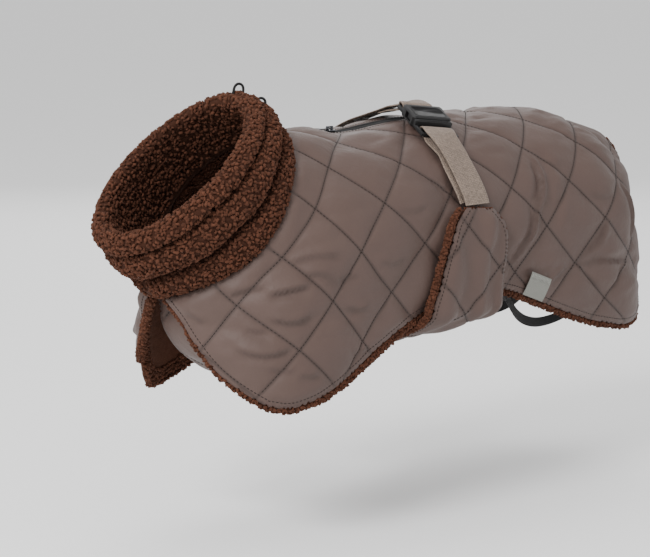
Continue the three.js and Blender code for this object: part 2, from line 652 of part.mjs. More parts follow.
// Webbing. Each row is a point of the strap's middle line on the coat
const NEAR_STRAP = [
  { along: -59, girth: -125.6, lift: 11.1 }, { along: -59, girth: -119, lift: 10.7 },
  { along: -59.5, girth: -110, lift: 10 }, { along: -60.5, girth: -100, lift: 9.9 },
  { along: -62, girth: -91, lift: 10.9 }, { along: -64, girth: -81, lift: 13.2 },
];
const NEAR_TAIL = [
  { along: -69, girth: -81, lift: 10 }, { along: -72, girth: -91, lift: 8 },
  { along: -72.5, girth: -101, lift: 7.1 }, { along: -68, girth: -112, lift: 7.1 },
  { along: -64, girth: -121, lift: 7.1 },
];
const FAR_UNDERLAP = [
  { along: -48, girth: 13, lift: 7.3 }, { along: -46, girth: 3, lift: 9.3 },
];
const FAR_STRAP = [
  { along: -46, girth: 4, lift: 12.8 }, { along: -48, girth: 13, lift: 10 },
  { along: -51.5, girth: 28, lift: 7.6 }, { along: -55, girth: 45, lift: 7.4 },
  { along: -58, girth: 62, lift: 7.4 }, { along: -59, girth: 79, lift: 7.5 },
  { along: -59, girth: 95, lift: 8 }, { along: -59, girth: 109, lift: 9.6 },
  { along: -59, girth: 118, lift: 10.7 }, { along: -59, girth: 125.6, lift: 11.1 },
];
const WRAP_RADIUS = 3;
const onStrap = (row) => ({
  at: onCoat(row.along, row.girth, row.lift), up: normalOf(formPoint, row.along, row.girth),
});
// A half turn of webbing round a bar, as points in the buckle's frame with their outward side
function wrap(centre, direction, outFirst) {
  return [0, 30, 60, 90, 120, 150, 180].map((degree) => {
    const angle = (outFirst ? 90 - degree : degree - 90) * degrees;
    const u = centre + direction * WRAP_RADIUS * Math.cos(angle);
    const n = BUCKLE.barLift + WRAP_RADIUS * Math.sin(angle);
    return { at: inBuckle(0, u, n), up: buckleDirection(0, direction * Math.cos(angle), Math.sin(angle)) };
  });
}
function strapGeometry(stations) {
  const frames = framesAlong(stations.map((one) => one.at), stations.map((one) => one.up));
  return sweep(frames, rectangle(WEBBING.width, WEBBING.thick));
}
const inStrap = (u, n, outward) => ({ at: inBuckle(0, u, n), up: buckleDirection(0, 0, outward) });
const turnedOver = ({ at, up }) => ({ at, up: up.negate() });
const WEBBING_TOP = BUCKLE.barLift + WRAP_RADIUS;
const WEBBING_UNDER = BUCKLE.barLift - WRAP_RADIUS;
const ladderBar = LADDER.end + LADDER.bar + LADDER.gap + BUCKLE.bar / 2;
const strapNear = strapGeometry([
  ...NEAR_STRAP.map(onStrap),
  inStrap(LADDER.end - 6, WEBBING_TOP - 1.4, 1),
  inStrap(LADDER.end - 0.5, WEBBING_TOP + 0.1, 1),
  ...wrap(ladderBar, 1, true),
  inStrap(LADDER.end - 0.5, WEBBING_UNDER - 0.2, -1),
  inStrap(LADDER.end - 6, WEBBING_UNDER - 1.2, -1),
  ...NEAR_TAIL.map(onStrap).map(turnedOver),
]);
const endBar = BUCKLE.end - BUCKLE.bar / 2;
const strapFar = strapGeometry([
  ...FAR_UNDERLAP.map(onStrap).map(turnedOver),
  inStrap(endBar + 4, WEBBING_UNDER - 0.4, -1),
  ...wrap(endBar, -1, false),
  inStrap(endBar + 2.5, WEBBING_TOP, 1),
  inStrap(endBar + 8, WEBBING_TOP - 1.6, 1),
  ...FAR_STRAP.map(onStrap),
]);

// Zip in the slit: a tape on each side, the slider at its front end, and its pull tab
const TAPE = { inner: 3, low: -0.6, high: 1.2, from: 0.06, to: 0.94, steps: 14 };
function zipTape(side) {
  const frames = [];
  for (let i = 0; i <= TAPE.steps; i += 1) {
    const share = TAPE.from + (TAPE.to - TAPE.from) * i / TAPE.steps;
    const along = ZIP_FRONT + (ZIP_REAR - ZIP_FRONT) * share;
    const wide = Math.sin(Math.PI * share) ** 0.35;
    const outer = SLIT_HALF * wide - 0.7;
    const inner = TAPE.inner * Math.sin(Math.PI * share) ** 0.5;
    const up = normalOf(formPoint, along, 0);
    const at = onCoat(along, 0.001);
    frames.push({ at, up, side: new THREE.Vector3(0, side, 0), section: [
      [inner, TAPE.low], [outer, TAPE.low - 0.1], [outer, TAPE.high - 0.1], [inner, TAPE.high],
    ] });
  }
  return sweep(frames, rectangle(1, 1));
}
const SLIDER = { along: -134, length: 9, width: 7.4, low: 1.6, high: 3.1, archTop: 6.5, archWidth: 2.2 };
const zipFrame = new THREE.Matrix4();
{
  const n = normalOf(formPoint, SLIDER.along, 0.001);
  n.y = 0;
  n.normalize();
  const rearwards = new THREE.Vector3(n.z, 0, -n.x);
  zipFrame.makeBasis(rearwards, new THREE.Vector3(0, 1, 0), n);
  zipFrame.setPosition(onCoat(SLIDER.along, 0.001));
}
const inZip = (x, y, z) => new THREE.Vector3(x, y, z).applyMatrix4(zipFrame);
const PULL_PIVOT_LIFT = 4.5;
function zipSlider() {
  const { length, width, low, high, archTop, archWidth } = SLIDER;
  const l = length / 2;
  const w = width / 2;
  let solid = plate([[-l, -w * 0.6], [-l + 2, -w * 0.75], [l - 1, -w], [l, -w + 1], [l, w - 1],
    [l - 1, w], [-l + 2, w * 0.75], [-l, w * 0.6]], low, high, 0.3);
  solid = solid.add(block(-3.4, -1.6, -archWidth / 2, archWidth / 2, high - 0.2, archTop));
  solid = solid.add(block(1.6, 3.4, -archWidth / 2, archWidth / 2, high - 0.2, archTop));
  solid = solid.add(block(-3.4, 3.4, -archWidth / 2, archWidth / 2, archTop - 1, archTop));
  return geometryOf(solid, inZip);
}
function zipPull() {
  const half = 0.5;
  const low = PULL_PIVOT_LIFT - half;
  const high = PULL_PIVOT_LIFT + half;
  let solid = block(-half, half, -2.9, 2.9, low, high);
  for (const side of [-1, 1]) {
    const edges = [side * 1.6, side * 2.9].sort((a, b) => a - b);
    solid = solid.add(block(-7, half, edges[0], edges[1], low, high));
  }
  solid = solid.add(plate([[-14.5, -1.8], [-13.5, -2.8], [-6, -3.2], [-5.4, -2.9], [-5.4, 2.9], [-6, 3.2],
    [-13.5, 2.8], [-14.5, 1.8]], low, high));
  return geometryOf(solid, inZip);
}

// Bare label, folded over the near hem
const LABEL = {
  top: [{ along: 16, girth: -191 }, { along: 43, girth: -201 }],
  bottom: [{ along: 11, girth: -206 }, { along: 38, girth: -216 }], thick: 0.8, clear: 0.9,
};
function labelGeometry() {
  const columns = 6;
  const rows = 3;
  const frames = [];
  for (let i = 0; i <= columns; i += 1) {
    const across = i / columns;
    for (const low of [true, false]) {
      for (let j = 0; j <= rows; j += 1) {
        const down = low ? j / rows : 1 - j / rows;
        const top = LABEL.top[0].along + (LABEL.top[1].along - LABEL.top[0].along) * across;
        const base = LABEL.bottom[0].along + (LABEL.bottom[1].along - LABEL.bottom[0].along) * across;
        const topGirth = LABEL.top[0].girth + (LABEL.top[1].girth - LABEL.top[0].girth) * across;
        const baseGirth = LABEL.bottom[0].girth + (LABEL.bottom[1].girth - LABEL.bottom[0].girth) * across;
        const along = top + (base - top) * down;
        const girth = topGirth + (baseGirth - topGirth) * down;
        const p = (along - DIAMOND_PHASE) / DIAMOND_LENGTH + girth / DIAMOND_GIRTH;
        const q = (along - DIAMOND_PHASE) / DIAMOND_LENGTH - girth / DIAMOND_GIRTH;
        const lift = shellHeight(along, girth, p, q) + LABEL.clear + (low ? 0 : LABEL.thick);
        frames.push(onCoat(along, girth, lift));
      }
    }
  }
  const ring = 2 * (rows + 1);
  const triangles = [];
  for (let i = 0; i < columns; i += 1) {
    for (let j = 0; j < ring; j += 1) {
      const next = (j + 1) % ring;
      const [a, b, c, d] = [i * ring + j, i * ring + next, (i + 1) * ring + next, (i + 1) * ring + j];
      triangles.push(a, b, c, a, c, d);
    }
  }
  for (let j = 0; j < rows; j += 1) {
    const [a, b, c, d] = [j, j + 1, ring - 2 - j, ring - 1 - j];
    const end = columns * ring;
    triangles.push(a, c, b, a, d, c, end + a, end + b, end + c, end + a, end + c, end + d);
  }
  return outwards(frames.flatMap((point) => point.toArray()), triangles);
}

// Leg elastics: from inside the hem, round the inner side of the hind leg, to the rear lobe
const ELASTIC = { width: 9, thick: 1.4 };
const LEG_START = [             // sewn inside the hem
  { along: -38, girth: 190, lift: -6.6 }, { along: -27, girth: 191, lift: -7.2 },
  { along: -15, girth: 194, lift: -9.4 },
];
const LEG_ROUTE = [             // free stretch on the wearer's left, y is mirrored on the right
  { x: 6, y: -82, z: -150 }, { x: 24, y: -73, z: -163 }, { x: 46, y: -61, z: -175 },
  { x: 72, y: -50, z: -185 }, { x: 104, y: -40, z: -191 }, { x: 138, y: -36, z: -189 },
  { x: 166, y: -38, z: -180 }, { x: 186, y: -44, z: -165 },
];
const LEG_END = [               // and inside the rear lobe
  { along: 195, girth: 208, lift: -12.5 }, { along: 202, girth: 198, lift: -10.9 },
];
const GLIDE = { width: 12.5, length: 9, thick: 4.6, clear: 0.8, step: 5 };
function legPoints(side) {
  const sewn = (row) => onCoat(row.along, side * row.girth, row.lift);
  const free = LEG_ROUTE.map((row) => new THREE.Vector3(row.x, -side * row.y, row.z));
  const points = [...LEG_START.map(sewn), ...free, ...LEG_END.map(sewn)];
  const curve = new THREE.CatmullRomCurve3(points, false, 'centripetal');
  return curve.getSpacedPoints(34);
}
const upright = new THREE.Vector3(0, 0, 1);
const legElastic = (side) => sweep(framesAlong(legPoints(side), null, upright),
  rectangle(ELASTIC.width, ELASTIC.thick));
function legGlide(side) {
  const points = legPoints(side).slice(GLIDE.step, GLIDE.step + 2);
  const [frame] = framesAlong(points, null, upright);
  const along = points[1].clone().sub(points[0]).normalize();
  const matrix = new THREE.Matrix4().makeBasis(along, frame.side, along.clone().cross(frame.side));
  matrix.setPosition(points[0].clone().lerp(points[1], 0.5));
  const l = GLIDE.length / 2;
  const w = GLIDE.width / 2;
  const t = GLIDE.thick / 2;
  let solid = plate([[-l, -w], [l, -w], [l, w], [-l, w]], -t, t, 0.7);
  const slotHalf = { width: ELASTIC.width / 2 + GLIDE.clear, thick: ELASTIC.thick / 2 + GLIDE.clear };
  solid = solid.subtract(block(-l - 1, l + 1, -slotHalf.width, slotHalf.width,
    -slotHalf.thick, slotHalf.thick));
  for (const x of [-3, 0, 3]) solid = solid.add(block(x - 0.6, x + 0.6, -w + 1, w - 1, t - 0.2, t + 0.5));
  return geometryOf(solid, (x, y, z) => new THREE.Vector3(x, y, z).applyMatrix4(matrix));
}

// Two loops of the collar's drawcord, standing out of the fleece at the back of the neck.
// Each row is the loop's foot, the direction it leans and its half width.
const CORD_DIAMETER = 2.3;
const CORD_LOOPS = [
  { name: 'cord_loop_top', x: -239.6, z: 37.4, leanX: 0.28, leanZ: 0.96, half: 4, rise: 9.5, y: 2 },
  { name: 'cord_loop_low', x: -218.4, z: 25, leanX: 0.5, leanZ: 0.86, half: 4, rise: 9.5, y: -1 },
];
function cordLoop(loop) {
  const lean = new THREE.Vector3(loop.leanX, 0, loop.leanZ).normalize();
  const across = new THREE.Vector3(lean.z, -0.5, -lean.x).normalize();
  const foot = new THREE.Vector3(loop.x, loop.y, loop.z);
  const points = [];
  for (let i = 0; i <= 14; i += 1) {
    const angle = Math.PI * i / 14;
    const rise = Math.sin(angle) ** 0.75 * loop.rise;
    points.push(foot.clone().addScaledVector(across, -loop.half * Math.cos(angle) * (1 + 0.25 * Math.sin(angle)))
      .addScaledVector(lean, rise));
  }
  const frames = framesAlong(points, null, new THREE.Vector3().crossVectors(across, lean));
  return sweep(frames, ellipse(CORD_DIAMETER / 2, CORD_DIAMETER / 2, 8));
}

// Everything in its place
const colours = {
  nylon: { color: 0x6e5d57, roughness: 0.5 },
  fleece: { color: 0x6b4434, roughness: 1 },
  webbing: { color: 0x96877a, roughness: 0.7 },
  plastic: { color: 0x1c1b1c, roughness: 0.4 },
  elastic: { color: 0x161516, roughness: 0.9 },
  metal: { color: 0x55565a, roughness: 0.35, metalness: 0.9 },
  label: { color: 0x96968c, roughness: 0.6 },
};
const finish = Object.fromEntries(Object.entries(colours).map(([name, look]) =>
  [name, new THREE.MeshStandardMaterial({ ...look, name })]));
const coat = new THREE.Group();
function add(name, geometry, material) {
  const mesh = new THREE.Mesh(geometry, material);
  mesh.name = name;
  coat.add(mesh);
}
add('back_shell', backShell, finish.nylon);
add('back_lining', backLining, finish.fleece);
add('collar', collarGeometry(), finish.fleece);
add('belly_shell', bellyShell, finish.nylon);
add('belly_lining', bellyLining, finish.fleece);
add('lobe_roll_far', lobeRoll, finish.fleece);
add('flap_roll_near', flapRoll(-1), finish.fleece);
add('flap_roll_far', flapRoll(1), finish.fleece);
add('strap_near', strapNear, finish.webbing);
add('strap_far', strapFar, finish.webbing);
add('buckle_female', buckleFemale(), finish.plastic);
add('buckle_male', buckleMale(), finish.plastic);
add('zip_tape_near', zipTape(-1), finish.elastic);
add('zip_tape_far', zipTape(1), finish.elastic);
add('zip_slider', zipSlider(), finish.metal);
add('zip_pull', zipPull(), finish.metal);
add('label', labelGeometry(), finish.label);
for (const [name, side] of [['near', -1], ['far', 1]]) {
  add(`leg_elastic_${name}`, legElastic(side), finish.elastic);
  add(`leg_glide_${name}`, legGlide(side), finish.plastic);
}
for (const loop of CORD_LOOPS) add(loop.name, cordLoop(loop), finish.elastic);

export default coat;
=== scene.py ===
"""Quilted dog winter coat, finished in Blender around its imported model.

The file reads as a notebook. Each step has a cell of text that says what the piece is on the real
coat, how it could be made and why it is made this way, and then a short cell of code.

Cloth is measured in millimetres on its own two coordinates: along runs down the spine from the
head end to the tail, and girth runs over the cloth from the spine, negative on the wearer's left.
Meshes are in metres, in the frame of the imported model.
"""

# %% [markdown]
# The frame comes first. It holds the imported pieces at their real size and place, and says which
# body each one rides on. Everything below is made around it, so nothing is fitted afterwards.

# %% Load the frame
import math

import bmesh
import bpy
import numpy as np
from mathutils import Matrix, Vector


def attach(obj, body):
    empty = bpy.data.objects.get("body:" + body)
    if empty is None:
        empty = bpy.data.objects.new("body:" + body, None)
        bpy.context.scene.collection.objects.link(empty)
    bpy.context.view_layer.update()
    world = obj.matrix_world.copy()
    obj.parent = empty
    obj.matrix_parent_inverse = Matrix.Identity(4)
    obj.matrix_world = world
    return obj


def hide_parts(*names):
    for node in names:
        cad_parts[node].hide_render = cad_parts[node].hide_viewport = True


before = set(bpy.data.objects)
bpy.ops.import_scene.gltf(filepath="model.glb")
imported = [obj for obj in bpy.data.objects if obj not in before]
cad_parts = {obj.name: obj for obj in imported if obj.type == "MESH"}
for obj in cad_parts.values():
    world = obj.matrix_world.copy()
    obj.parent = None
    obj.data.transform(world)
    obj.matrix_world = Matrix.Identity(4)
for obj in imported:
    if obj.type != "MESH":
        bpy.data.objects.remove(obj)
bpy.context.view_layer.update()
MM = 0.001

# %% [markdown]
# The camera stands where the photograph was taken from: in front of the coat's left shoulder, a
# little above it, with a long lens that keeps the shape free of distortion. A long lens is given
# by its focal length in pixels, and Blender wants that in millimetres of a 36 mm sensor.

# %% The camera
PHOTO_WIDTH = 650
FOCAL_PIXELS = 2400
SENSOR_MM = 36
CAMERA_PLACE = (-1.5881, -1.4741, 0.1956)
CAMERA_AZIMUTH = math.radians(-44.5)
CAMERA_RISE = math.radians(8.9)


def make_camera():
    """A camera at its place. It looks back along the direction that azimuth and rise give."""
    data = bpy.data.cameras.new("camera")
    data.sensor_width = SENSOR_MM
    data.lens = FOCAL_PIXELS / PHOTO_WIDTH * SENSOR_MM
    camera = bpy.data.objects.new("camera", data)
    bpy.context.scene.collection.objects.link(camera)
    back = Vector((math.sin(CAMERA_AZIMUTH) * math.cos(CAMERA_RISE),
                   -math.cos(CAMERA_AZIMUTH) * math.cos(CAMERA_RISE), math.sin(CAMERA_RISE)))
    camera.location = CAMERA_PLACE
    camera.rotation_mode = "QUATERNION"
    camera.rotation_quaternion = (-back).to_track_quat("-Z", "Y")
    bpy.context.scene.camera = camera
    return camera


camera = make_camera()
print("camera lens in mm:", round(camera.data.lens, 1))

# %% [markdown]
# Cloth is never quite even, so the shapes need a few helpers: an ease between two values, a smooth
# noise that is the same on every run, and a smooth line through a few chosen points. Blender has
# textures for noise, but worked out with numpy it moves the mesh itself.

# %% Helpers for numbers
WALK_FINER = 20  # steps of the first walk for each point wanted


def ease(value, low=0.0, high=1.0):
    """0 below low, 1 above high, and between them three squares less two cubes of the share."""
    share = np.clip((value - low) / (high - low), 0, 1)
    return share * share * (3 - 2 * share)


def noise(x, y, seed, size=64):
    """Values from -1 to 1: random at whole numbers, eased between their four neighbours."""
    table = np.random.default_rng(seed).uniform(-1, 1, (size, size))
    i, j = np.floor(x).astype(int), np.floor(y).astype(int)
    u, v = ease(x - i), ease(y - j)
    near = table[i % size, j % size] * (1 - u) + table[(i + 1) % size, j % size] * u
    far = table[i % size, (j + 1) % size] * (1 - u) + table[(i + 1) % size, (j + 1) % size] * u
    return near * (1 - v) + far * v


def lengths_along(points):
    """Distance from the first point to each point, summed along the line."""
    return np.r_[0, np.cumsum(np.linalg.norm(np.diff(points, axis=0), axis=1))]


def smooth_line(rows, count):
    """A cubic through the rows, whose slope at a row is that of its neighbours, walked evenly."""
    points = np.asarray(rows, float)
    knots = lengths_along(points)
    slope = np.gradient(points, knots, axis=0)
    walk = np.linspace(0, knots[-1], WALK_FINER * count)
    k = np.clip(np.searchsorted(knots, walk, side="right") - 1, 0, len(knots) - 2)
    span = (knots[k + 1] - knots[k])[:, None]
    u = (walk - knots[k])[:, None] / span
    line = ((2 * u**3 - 3 * u**2 + 1) * points[k] + (u**3 - 2 * u**2 + u) * span * slope[k]
            + (3 * u**2 - 2 * u**3) * points[k + 1] + (u**3 - u**2) * span * slope[k + 1])
    distance = lengths_along(line)
    even = np.linspace(0, distance[-1], count)
    return np.stack([np.interp(even, distance, axis) for axis in line.T], axis=1)


def unit(vectors, least=1e-12):
    """Each vector divided by its own length, or by the least one if it has none."""
    return vectors / np.maximum(np.linalg.norm(vectors, axis=-1, keepdims=True), least)


print("helpers ready")

# %% [markdown]
# The coat's worn form is one surface. It is round over the back, nearly flat down the sides, turns
# in round the chest and the rump, and narrows to the neck. It repeats the sizes that the packed
# model was made with, so that every panel made on it lies where its solid lies.

# %% The worn form
SPINE_TOP, HALF_WIDTH, CROWN_DROP, CROWN_GIRTH = 5.4, 99, 97, 154
SIDE_LEAN = math.radians(3)
CHEST_START, CHEST_RADIUS, CHEST_GIRTHS = -225, 101, (20, 150)
RUMP_START, RUMP_RADIUS, RUMP_GIRTHS = 118, 105, (0, 150)
FLATTEST = 1e-4  # keeps a part that doesn't bend from a division by nothing
RUMP_FLARE, FLARE_GIRTH, FLARE_ALONG = 0.22, 130, (40, 215)
TAIL_DROP, TAIL_ALONG, TAIL_GIRTHS = 22, (120, 230), (60, 150)
WITHERS_DIP, WITHERS_ALONG, WITHERS_SPAN, WITHERS_GIRTHS = 7, -135, 55, (20, 110)
NECK_TOP, NECK_BOTTOM = np.array([-199, 10]), np.array([-325, -125.5])
NECK_PINCH, PINCH_REACH = 0.2, 45


def form(along, girth):
    """The shell's inner face: a quarter wave over the back, a straight side below it, and a bend
    of one radius at each end, which flattens out towards the spine, in millimetres."""
    along, girth = np.broadcast_arrays(np.asarray(along, float), np.asarray(girth, float))
    side = np.where(girth < 0, -1, 1)
    down = np.abs(girth)
    turn = np.minimum(down, CROWN_GIRTH) / CROWN_GIRTH * math.pi / 2
    below = np.maximum(down - CROWN_GIRTH, 0)
    reach = HALF_WIDTH * np.sin(turn) - below * math.sin(SIDE_LEAN)
    z = SPINE_TOP - CROWN_DROP * (1 - np.cos(turn)) - below * math.cos(SIDE_LEAN)
    chest_bend = np.maximum(ease(down, *CHEST_GIRTHS), FLATTEST) / CHEST_RADIUS
    rump_bend = np.maximum(ease(down, *RUMP_GIRTHS), FLATTEST) / RUMP_RADIUS
    chest_angle = chest_bend * np.maximum(CHEST_START - along, 0)
    rump_angle = rump_bend * np.maximum(along - RUMP_START, 0)
    x = np.clip(along, CHEST_START, RUMP_START)
    x = x - np.sin(chest_angle) / chest_bend + np.sin(rump_angle) / rump_bend
    inward = (1 - np.cos(chest_angle)) / chest_bend + (1 - np.cos(rump_angle)) / rump_bend
    z = z - TAIL_DROP * ease(along, *TAIL_ALONG) * (1 - ease(down, *TAIL_GIRTHS))
    withers = np.exp(-(((along - WITHERS_ALONG) / WITHERS_SPAN) ** 2))
    z = z - WITHERS_DIP * withers * (1 - ease(down, *WITHERS_GIRTHS))
    x = x + RUMP_FLARE * (down - FLARE_GIRTH) * ease(along, *FLARE_ALONG)
    neck = NECK_BOTTOM - NECK_TOP
    neck_x, neck_z = neck[1] / np.linalg.norm(neck), -neck[0] / np.linalg.norm(neck)
    from_neck = np.minimum((x - NECK_TOP[0]) * neck_x + (z - NECK_TOP[1]) * neck_z, 0)
    pinch = 1 - NECK_PINCH * np.exp(-((from_neck / PINCH_REACH) ** 2))
    return np.stack([x, side * (reach - inward) * pinch, z], axis=-1)


def outward(surface, u, v, step=0.5):
    """The unit normal of a surface: the cross product of its slopes along u and along v."""
    return unit(np.cross(surface(u + step, v) - surface(u - step, v),
                         surface(u, v + step) - surface(u, v - step)))


def on_coat(along, girth, lift=0.0):
    """A point of the form, moved out along its normal by lift."""
    along, girth = np.asarray(along, float), np.asarray(girth, float)
    return form(along, girth) + outward(form, along, girth) * np.asarray(lift)[..., None]


print("spine top at the origin in mm:", on_coat(0, 0).round(1))

# %% [markdown]
# The belly panel has a form of its own. On the sides its flaps lie over the back panel. Past the
# hem they turn under and hang nearly straight to the middle line. A narrow bib runs on from
# there, forward between the two front openings and up the chest. One function covers all three.

# %% The belly form
BELLY_LINE = [(-25, -183), (-70, -187), (-121, -192), (-160, -199), (-200, -204), (-235, -203),
              (-261, -194), (-281, -181), (-295, -165), (-303, -150), (-306, -137)]
FLAP_LIFT, FLAP_JOIN_GIRTH, BELLY_REACH = 10.6, 213, 117
BIB_WIDTH, BIB_DEPTH, BIB_ALONG = 108, 130, (150, 240)
HANG_OUT, HANG_IN = (40, 7), (4, -13)  # sideways and up, from the middle line and from the hem
HANG_STEPS, MIDDLE_STEPS = 25, 400
belly_middle = smooth_line(BELLY_LINE, MIDDLE_STEPS)
belly_walk = lengths_along(belly_middle)
belly_slope = unit(np.gradient(belly_middle, belly_walk, axis=0))


def hanging(corners, share):
    """A cubic from four corners, at a share of its length: sampled, measured and stepped along."""
    t = np.linspace(0, 1, HANG_STEPS)[:, None]
    weights = ((1 - t) ** 3, 3 * (1 - t) ** 2 * t, 3 * (1 - t) * t**2, t**3)
    steps = sum(weight * corner[..., None, :] for weight, corner in zip(weights, corners))
    pieces = np.linalg.norm(np.diff(steps, axis=-2), axis=-1)
    walked = np.concatenate([np.zeros_like(pieces[..., :1]), np.cumsum(pieces, axis=-1)], axis=-1)
    target = share * walked[..., -1]
    k = np.clip((walked < target[..., None]).sum(-1) - 1, 0, HANG_STEPS - 2)[..., None]
    part = (target[..., None] - np.take_along_axis(walked, k, -1)) / np.take_along_axis(pieces, k, -1)
    start = np.take_along_axis(steps, k[..., None], -2)[..., 0, :]
    end = np.take_along_axis(steps, k[..., None] + 1, -2)[..., 0, :]
    return start + (end - start) * part


def belly(start, across):
    """Start is measured along the middle line from the rear edge, across over the cloth from it:
    a hanging cubic under the belly, the worn form up the side, part of an ellipse on the chest."""
    start, across = np.broadcast_arrays(np.asarray(start, float), np.asarray(across, float))
    held = np.clip(start, 0, belly_walk[-1])
    tx, tz = (np.interp(held, belly_walk, belly_slope[:, k]) for k in (0, 1))
    x, z = (np.interp(held, belly_walk, belly_middle[:, k]) for k in (0, 1))
    x, z = x + tx * (start - held), z + tz * (start - held)
    side, over, zero = np.where(across < 0, -1, 1), np.abs(across), np.zeros_like(x)
    middle = np.stack([x, zero, z], axis=-1)
    join = on_coat(x, side * FLAP_JOIN_GIRTH, FLAP_LIFT)
    first = middle + np.stack([zero, side * HANG_OUT[0], zero + HANG_OUT[1]], axis=-1)
    last = join + np.stack([zero, -side * HANG_IN[0], zero + HANG_IN[1]], axis=-1)
    under = hanging((middle, first, last, join), np.clip(over / BELLY_REACH, 0, 1))
    angle = np.minimum(over / BIB_WIDTH, math.pi / 2)
    into = unit(np.stack([-tz, zero, -tx], axis=-1))
    bib = middle + into * (BIB_DEPTH * (1 - np.cos(angle)))[..., None]
    bib[..., 1] = side * BIB_WIDTH * np.sin(angle)
    chest = ease(-x, *BIB_ALONG)[..., None]
    on_side = on_coat(x, side * (FLAP_JOIN_GIRTH - (over - BELLY_REACH)), FLAP_LIFT)
    return np.where((over > BELLY_REACH)[..., None], on_side, under * (1 - chest) + bib * chest)


def on_belly(start, across, lift=0.0):
    """A point of the belly form, moved out along its normal by lift."""
    start, across = np.asarray(start, float), np.asarray(across, float)
    return belly(start, across) + outward(belly, start, across) * np.asarray(lift)[..., None]


print("belly panel's middle line in mm:", round(belly_walk[-1]))

# %% [markdown]
# Every new piece goes into Blender the same way: an array of points, arrays of faces with three,
# four or more corners, and values that its material reads. `foreach_set` hands a whole array over
# at once, which is far quicker than adding vertices one by one. A closed body whose volume comes
# out negative is inside out, so its faces are turned round here.

# %% Put arrays into a mesh
triangle_count = {}


def volume_of(points, sets):
    """Six times the volume: each face's fan of triangles, as the triple product of its corners."""
    total = 0.0
    for faces in sets:
        a = points[faces[:, 0]]
        for k in range(1, faces.shape[1] - 1):
            total += np.sum(a * np.cross(points[faces[:, k]], points[faces[:, k + 1]]))
    return total


def make_piece(name, points, sets, material, body="coat", uv=None, shade=None):
    """A mesh object from points in millimetres and a list of face arrays, riding on a body."""
    points = np.asarray(points, float)
    sets = [np.asarray(faces) for faces in sets if len(faces)]
    if volume_of(points - points.mean(0), sets) < 0:
        sets = [faces[:, ::-1] for faces in sets]
    corners = np.concatenate([faces.ravel() for faces in sets])
    sizes = np.concatenate([np.full(len(faces), faces.shape[1]) for faces in sets])
    mesh = bpy.data.meshes.new(name)
    mesh.vertices.add(len(points))
    mesh.vertices.foreach_set("co", (points * MM).ravel())
    mesh.loops.add(len(corners))
    mesh.loops.foreach_set("vertex_index", corners)
    mesh.polygons.add(len(sizes))
    mesh.polygons.foreach_set("loop_start", np.r_[0, np.cumsum(sizes)[:-1]])
    mesh.update(calc_edges=True)
    mesh.polygons.foreach_set("use_smooth", np.ones(len(sizes), bool))
    if uv is not None:
        layer = mesh.uv_layers.new(name="cloth")
        layer.data.foreach_set("uv", (np.asarray(uv, float)[corners] * MM).ravel())
    # The shade attribute: painted shade for creases, hollows and curl roots, times a random tone on curls;
    # 1 where none is given.
    shades = np.array(np.broadcast_to(1.0 if shade is None else shade, len(points)), float)
    mesh.attributes.new("shade", "FLOAT", "POINT").data.foreach_set("value", shades)
    mesh.materials.append(material)
    piece = bpy.data.objects.new(name, mesh)
    bpy.context.scene.collection.objects.link(piece)
    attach(piece, body)
    triangle_count[name] = int((sizes - 2).sum())
    return piece


def grid_faces(rows, columns, round_rows=False, round_columns=False):
    """Four corners for each cell of a grid. A round direction joins its last line to its first."""
    i = np.arange(rows if round_rows else rows - 1)[:, None]
    j = np.arange(columns if round_columns else columns - 1)[None, :]
    up, right = (i + 1) % rows, (j + 1) % columns
    cells = [i * columns + j, up * columns + j, up * columns + right, i * columns + right]
    return np.stack(cells, axis=-1).reshape(-1, 4)


def tube_faces(rings, sides, count=1):
    """Faces of one or many tubes: their walls, and a cap with all sides at both ends of each."""
    wall = grid_faces(rings, sides, round_columns=True)
    caps = np.array([np.arange(sides)[::-1], np.arange(sides) + (rings - 1) * sides])
    start = (np.arange(count) * rings * sides)[:, None, None]
    return [(start + wall).reshape(-1, 4), (start + caps).reshape(-1, sides)]


def slab(outer, inner, faces):
    """Two skins with the same faces, closed by a strip along every edge that has one face only."""
    count = len(outer)
    edges = np.concatenate([faces[:, [k, (k + 1) % 4]] for k in range(4)])
    key, back = edges @ [count, 1], edges @ [1, count]
    rim = edges[~np.isin(key, back)]
    strip = np.stack([rim[:, 1], rim[:, 0], rim[:, 0] + count, rim[:, 1] + count], axis=1)
    return np.concatenate([outer, inner]), [np.concatenate([faces, faces[:, ::-1] + count, strip])]


print("mesh helpers ready")

# %% [markdown]
# Materials come before the pieces. A short class keeps the calls that add nodes and join them in
# one place, so that each finish below reads as a list of what it is made of: colour, threads,
# wrinkles. Woven bands take their threads from the piece's own UV map, which is in metres.

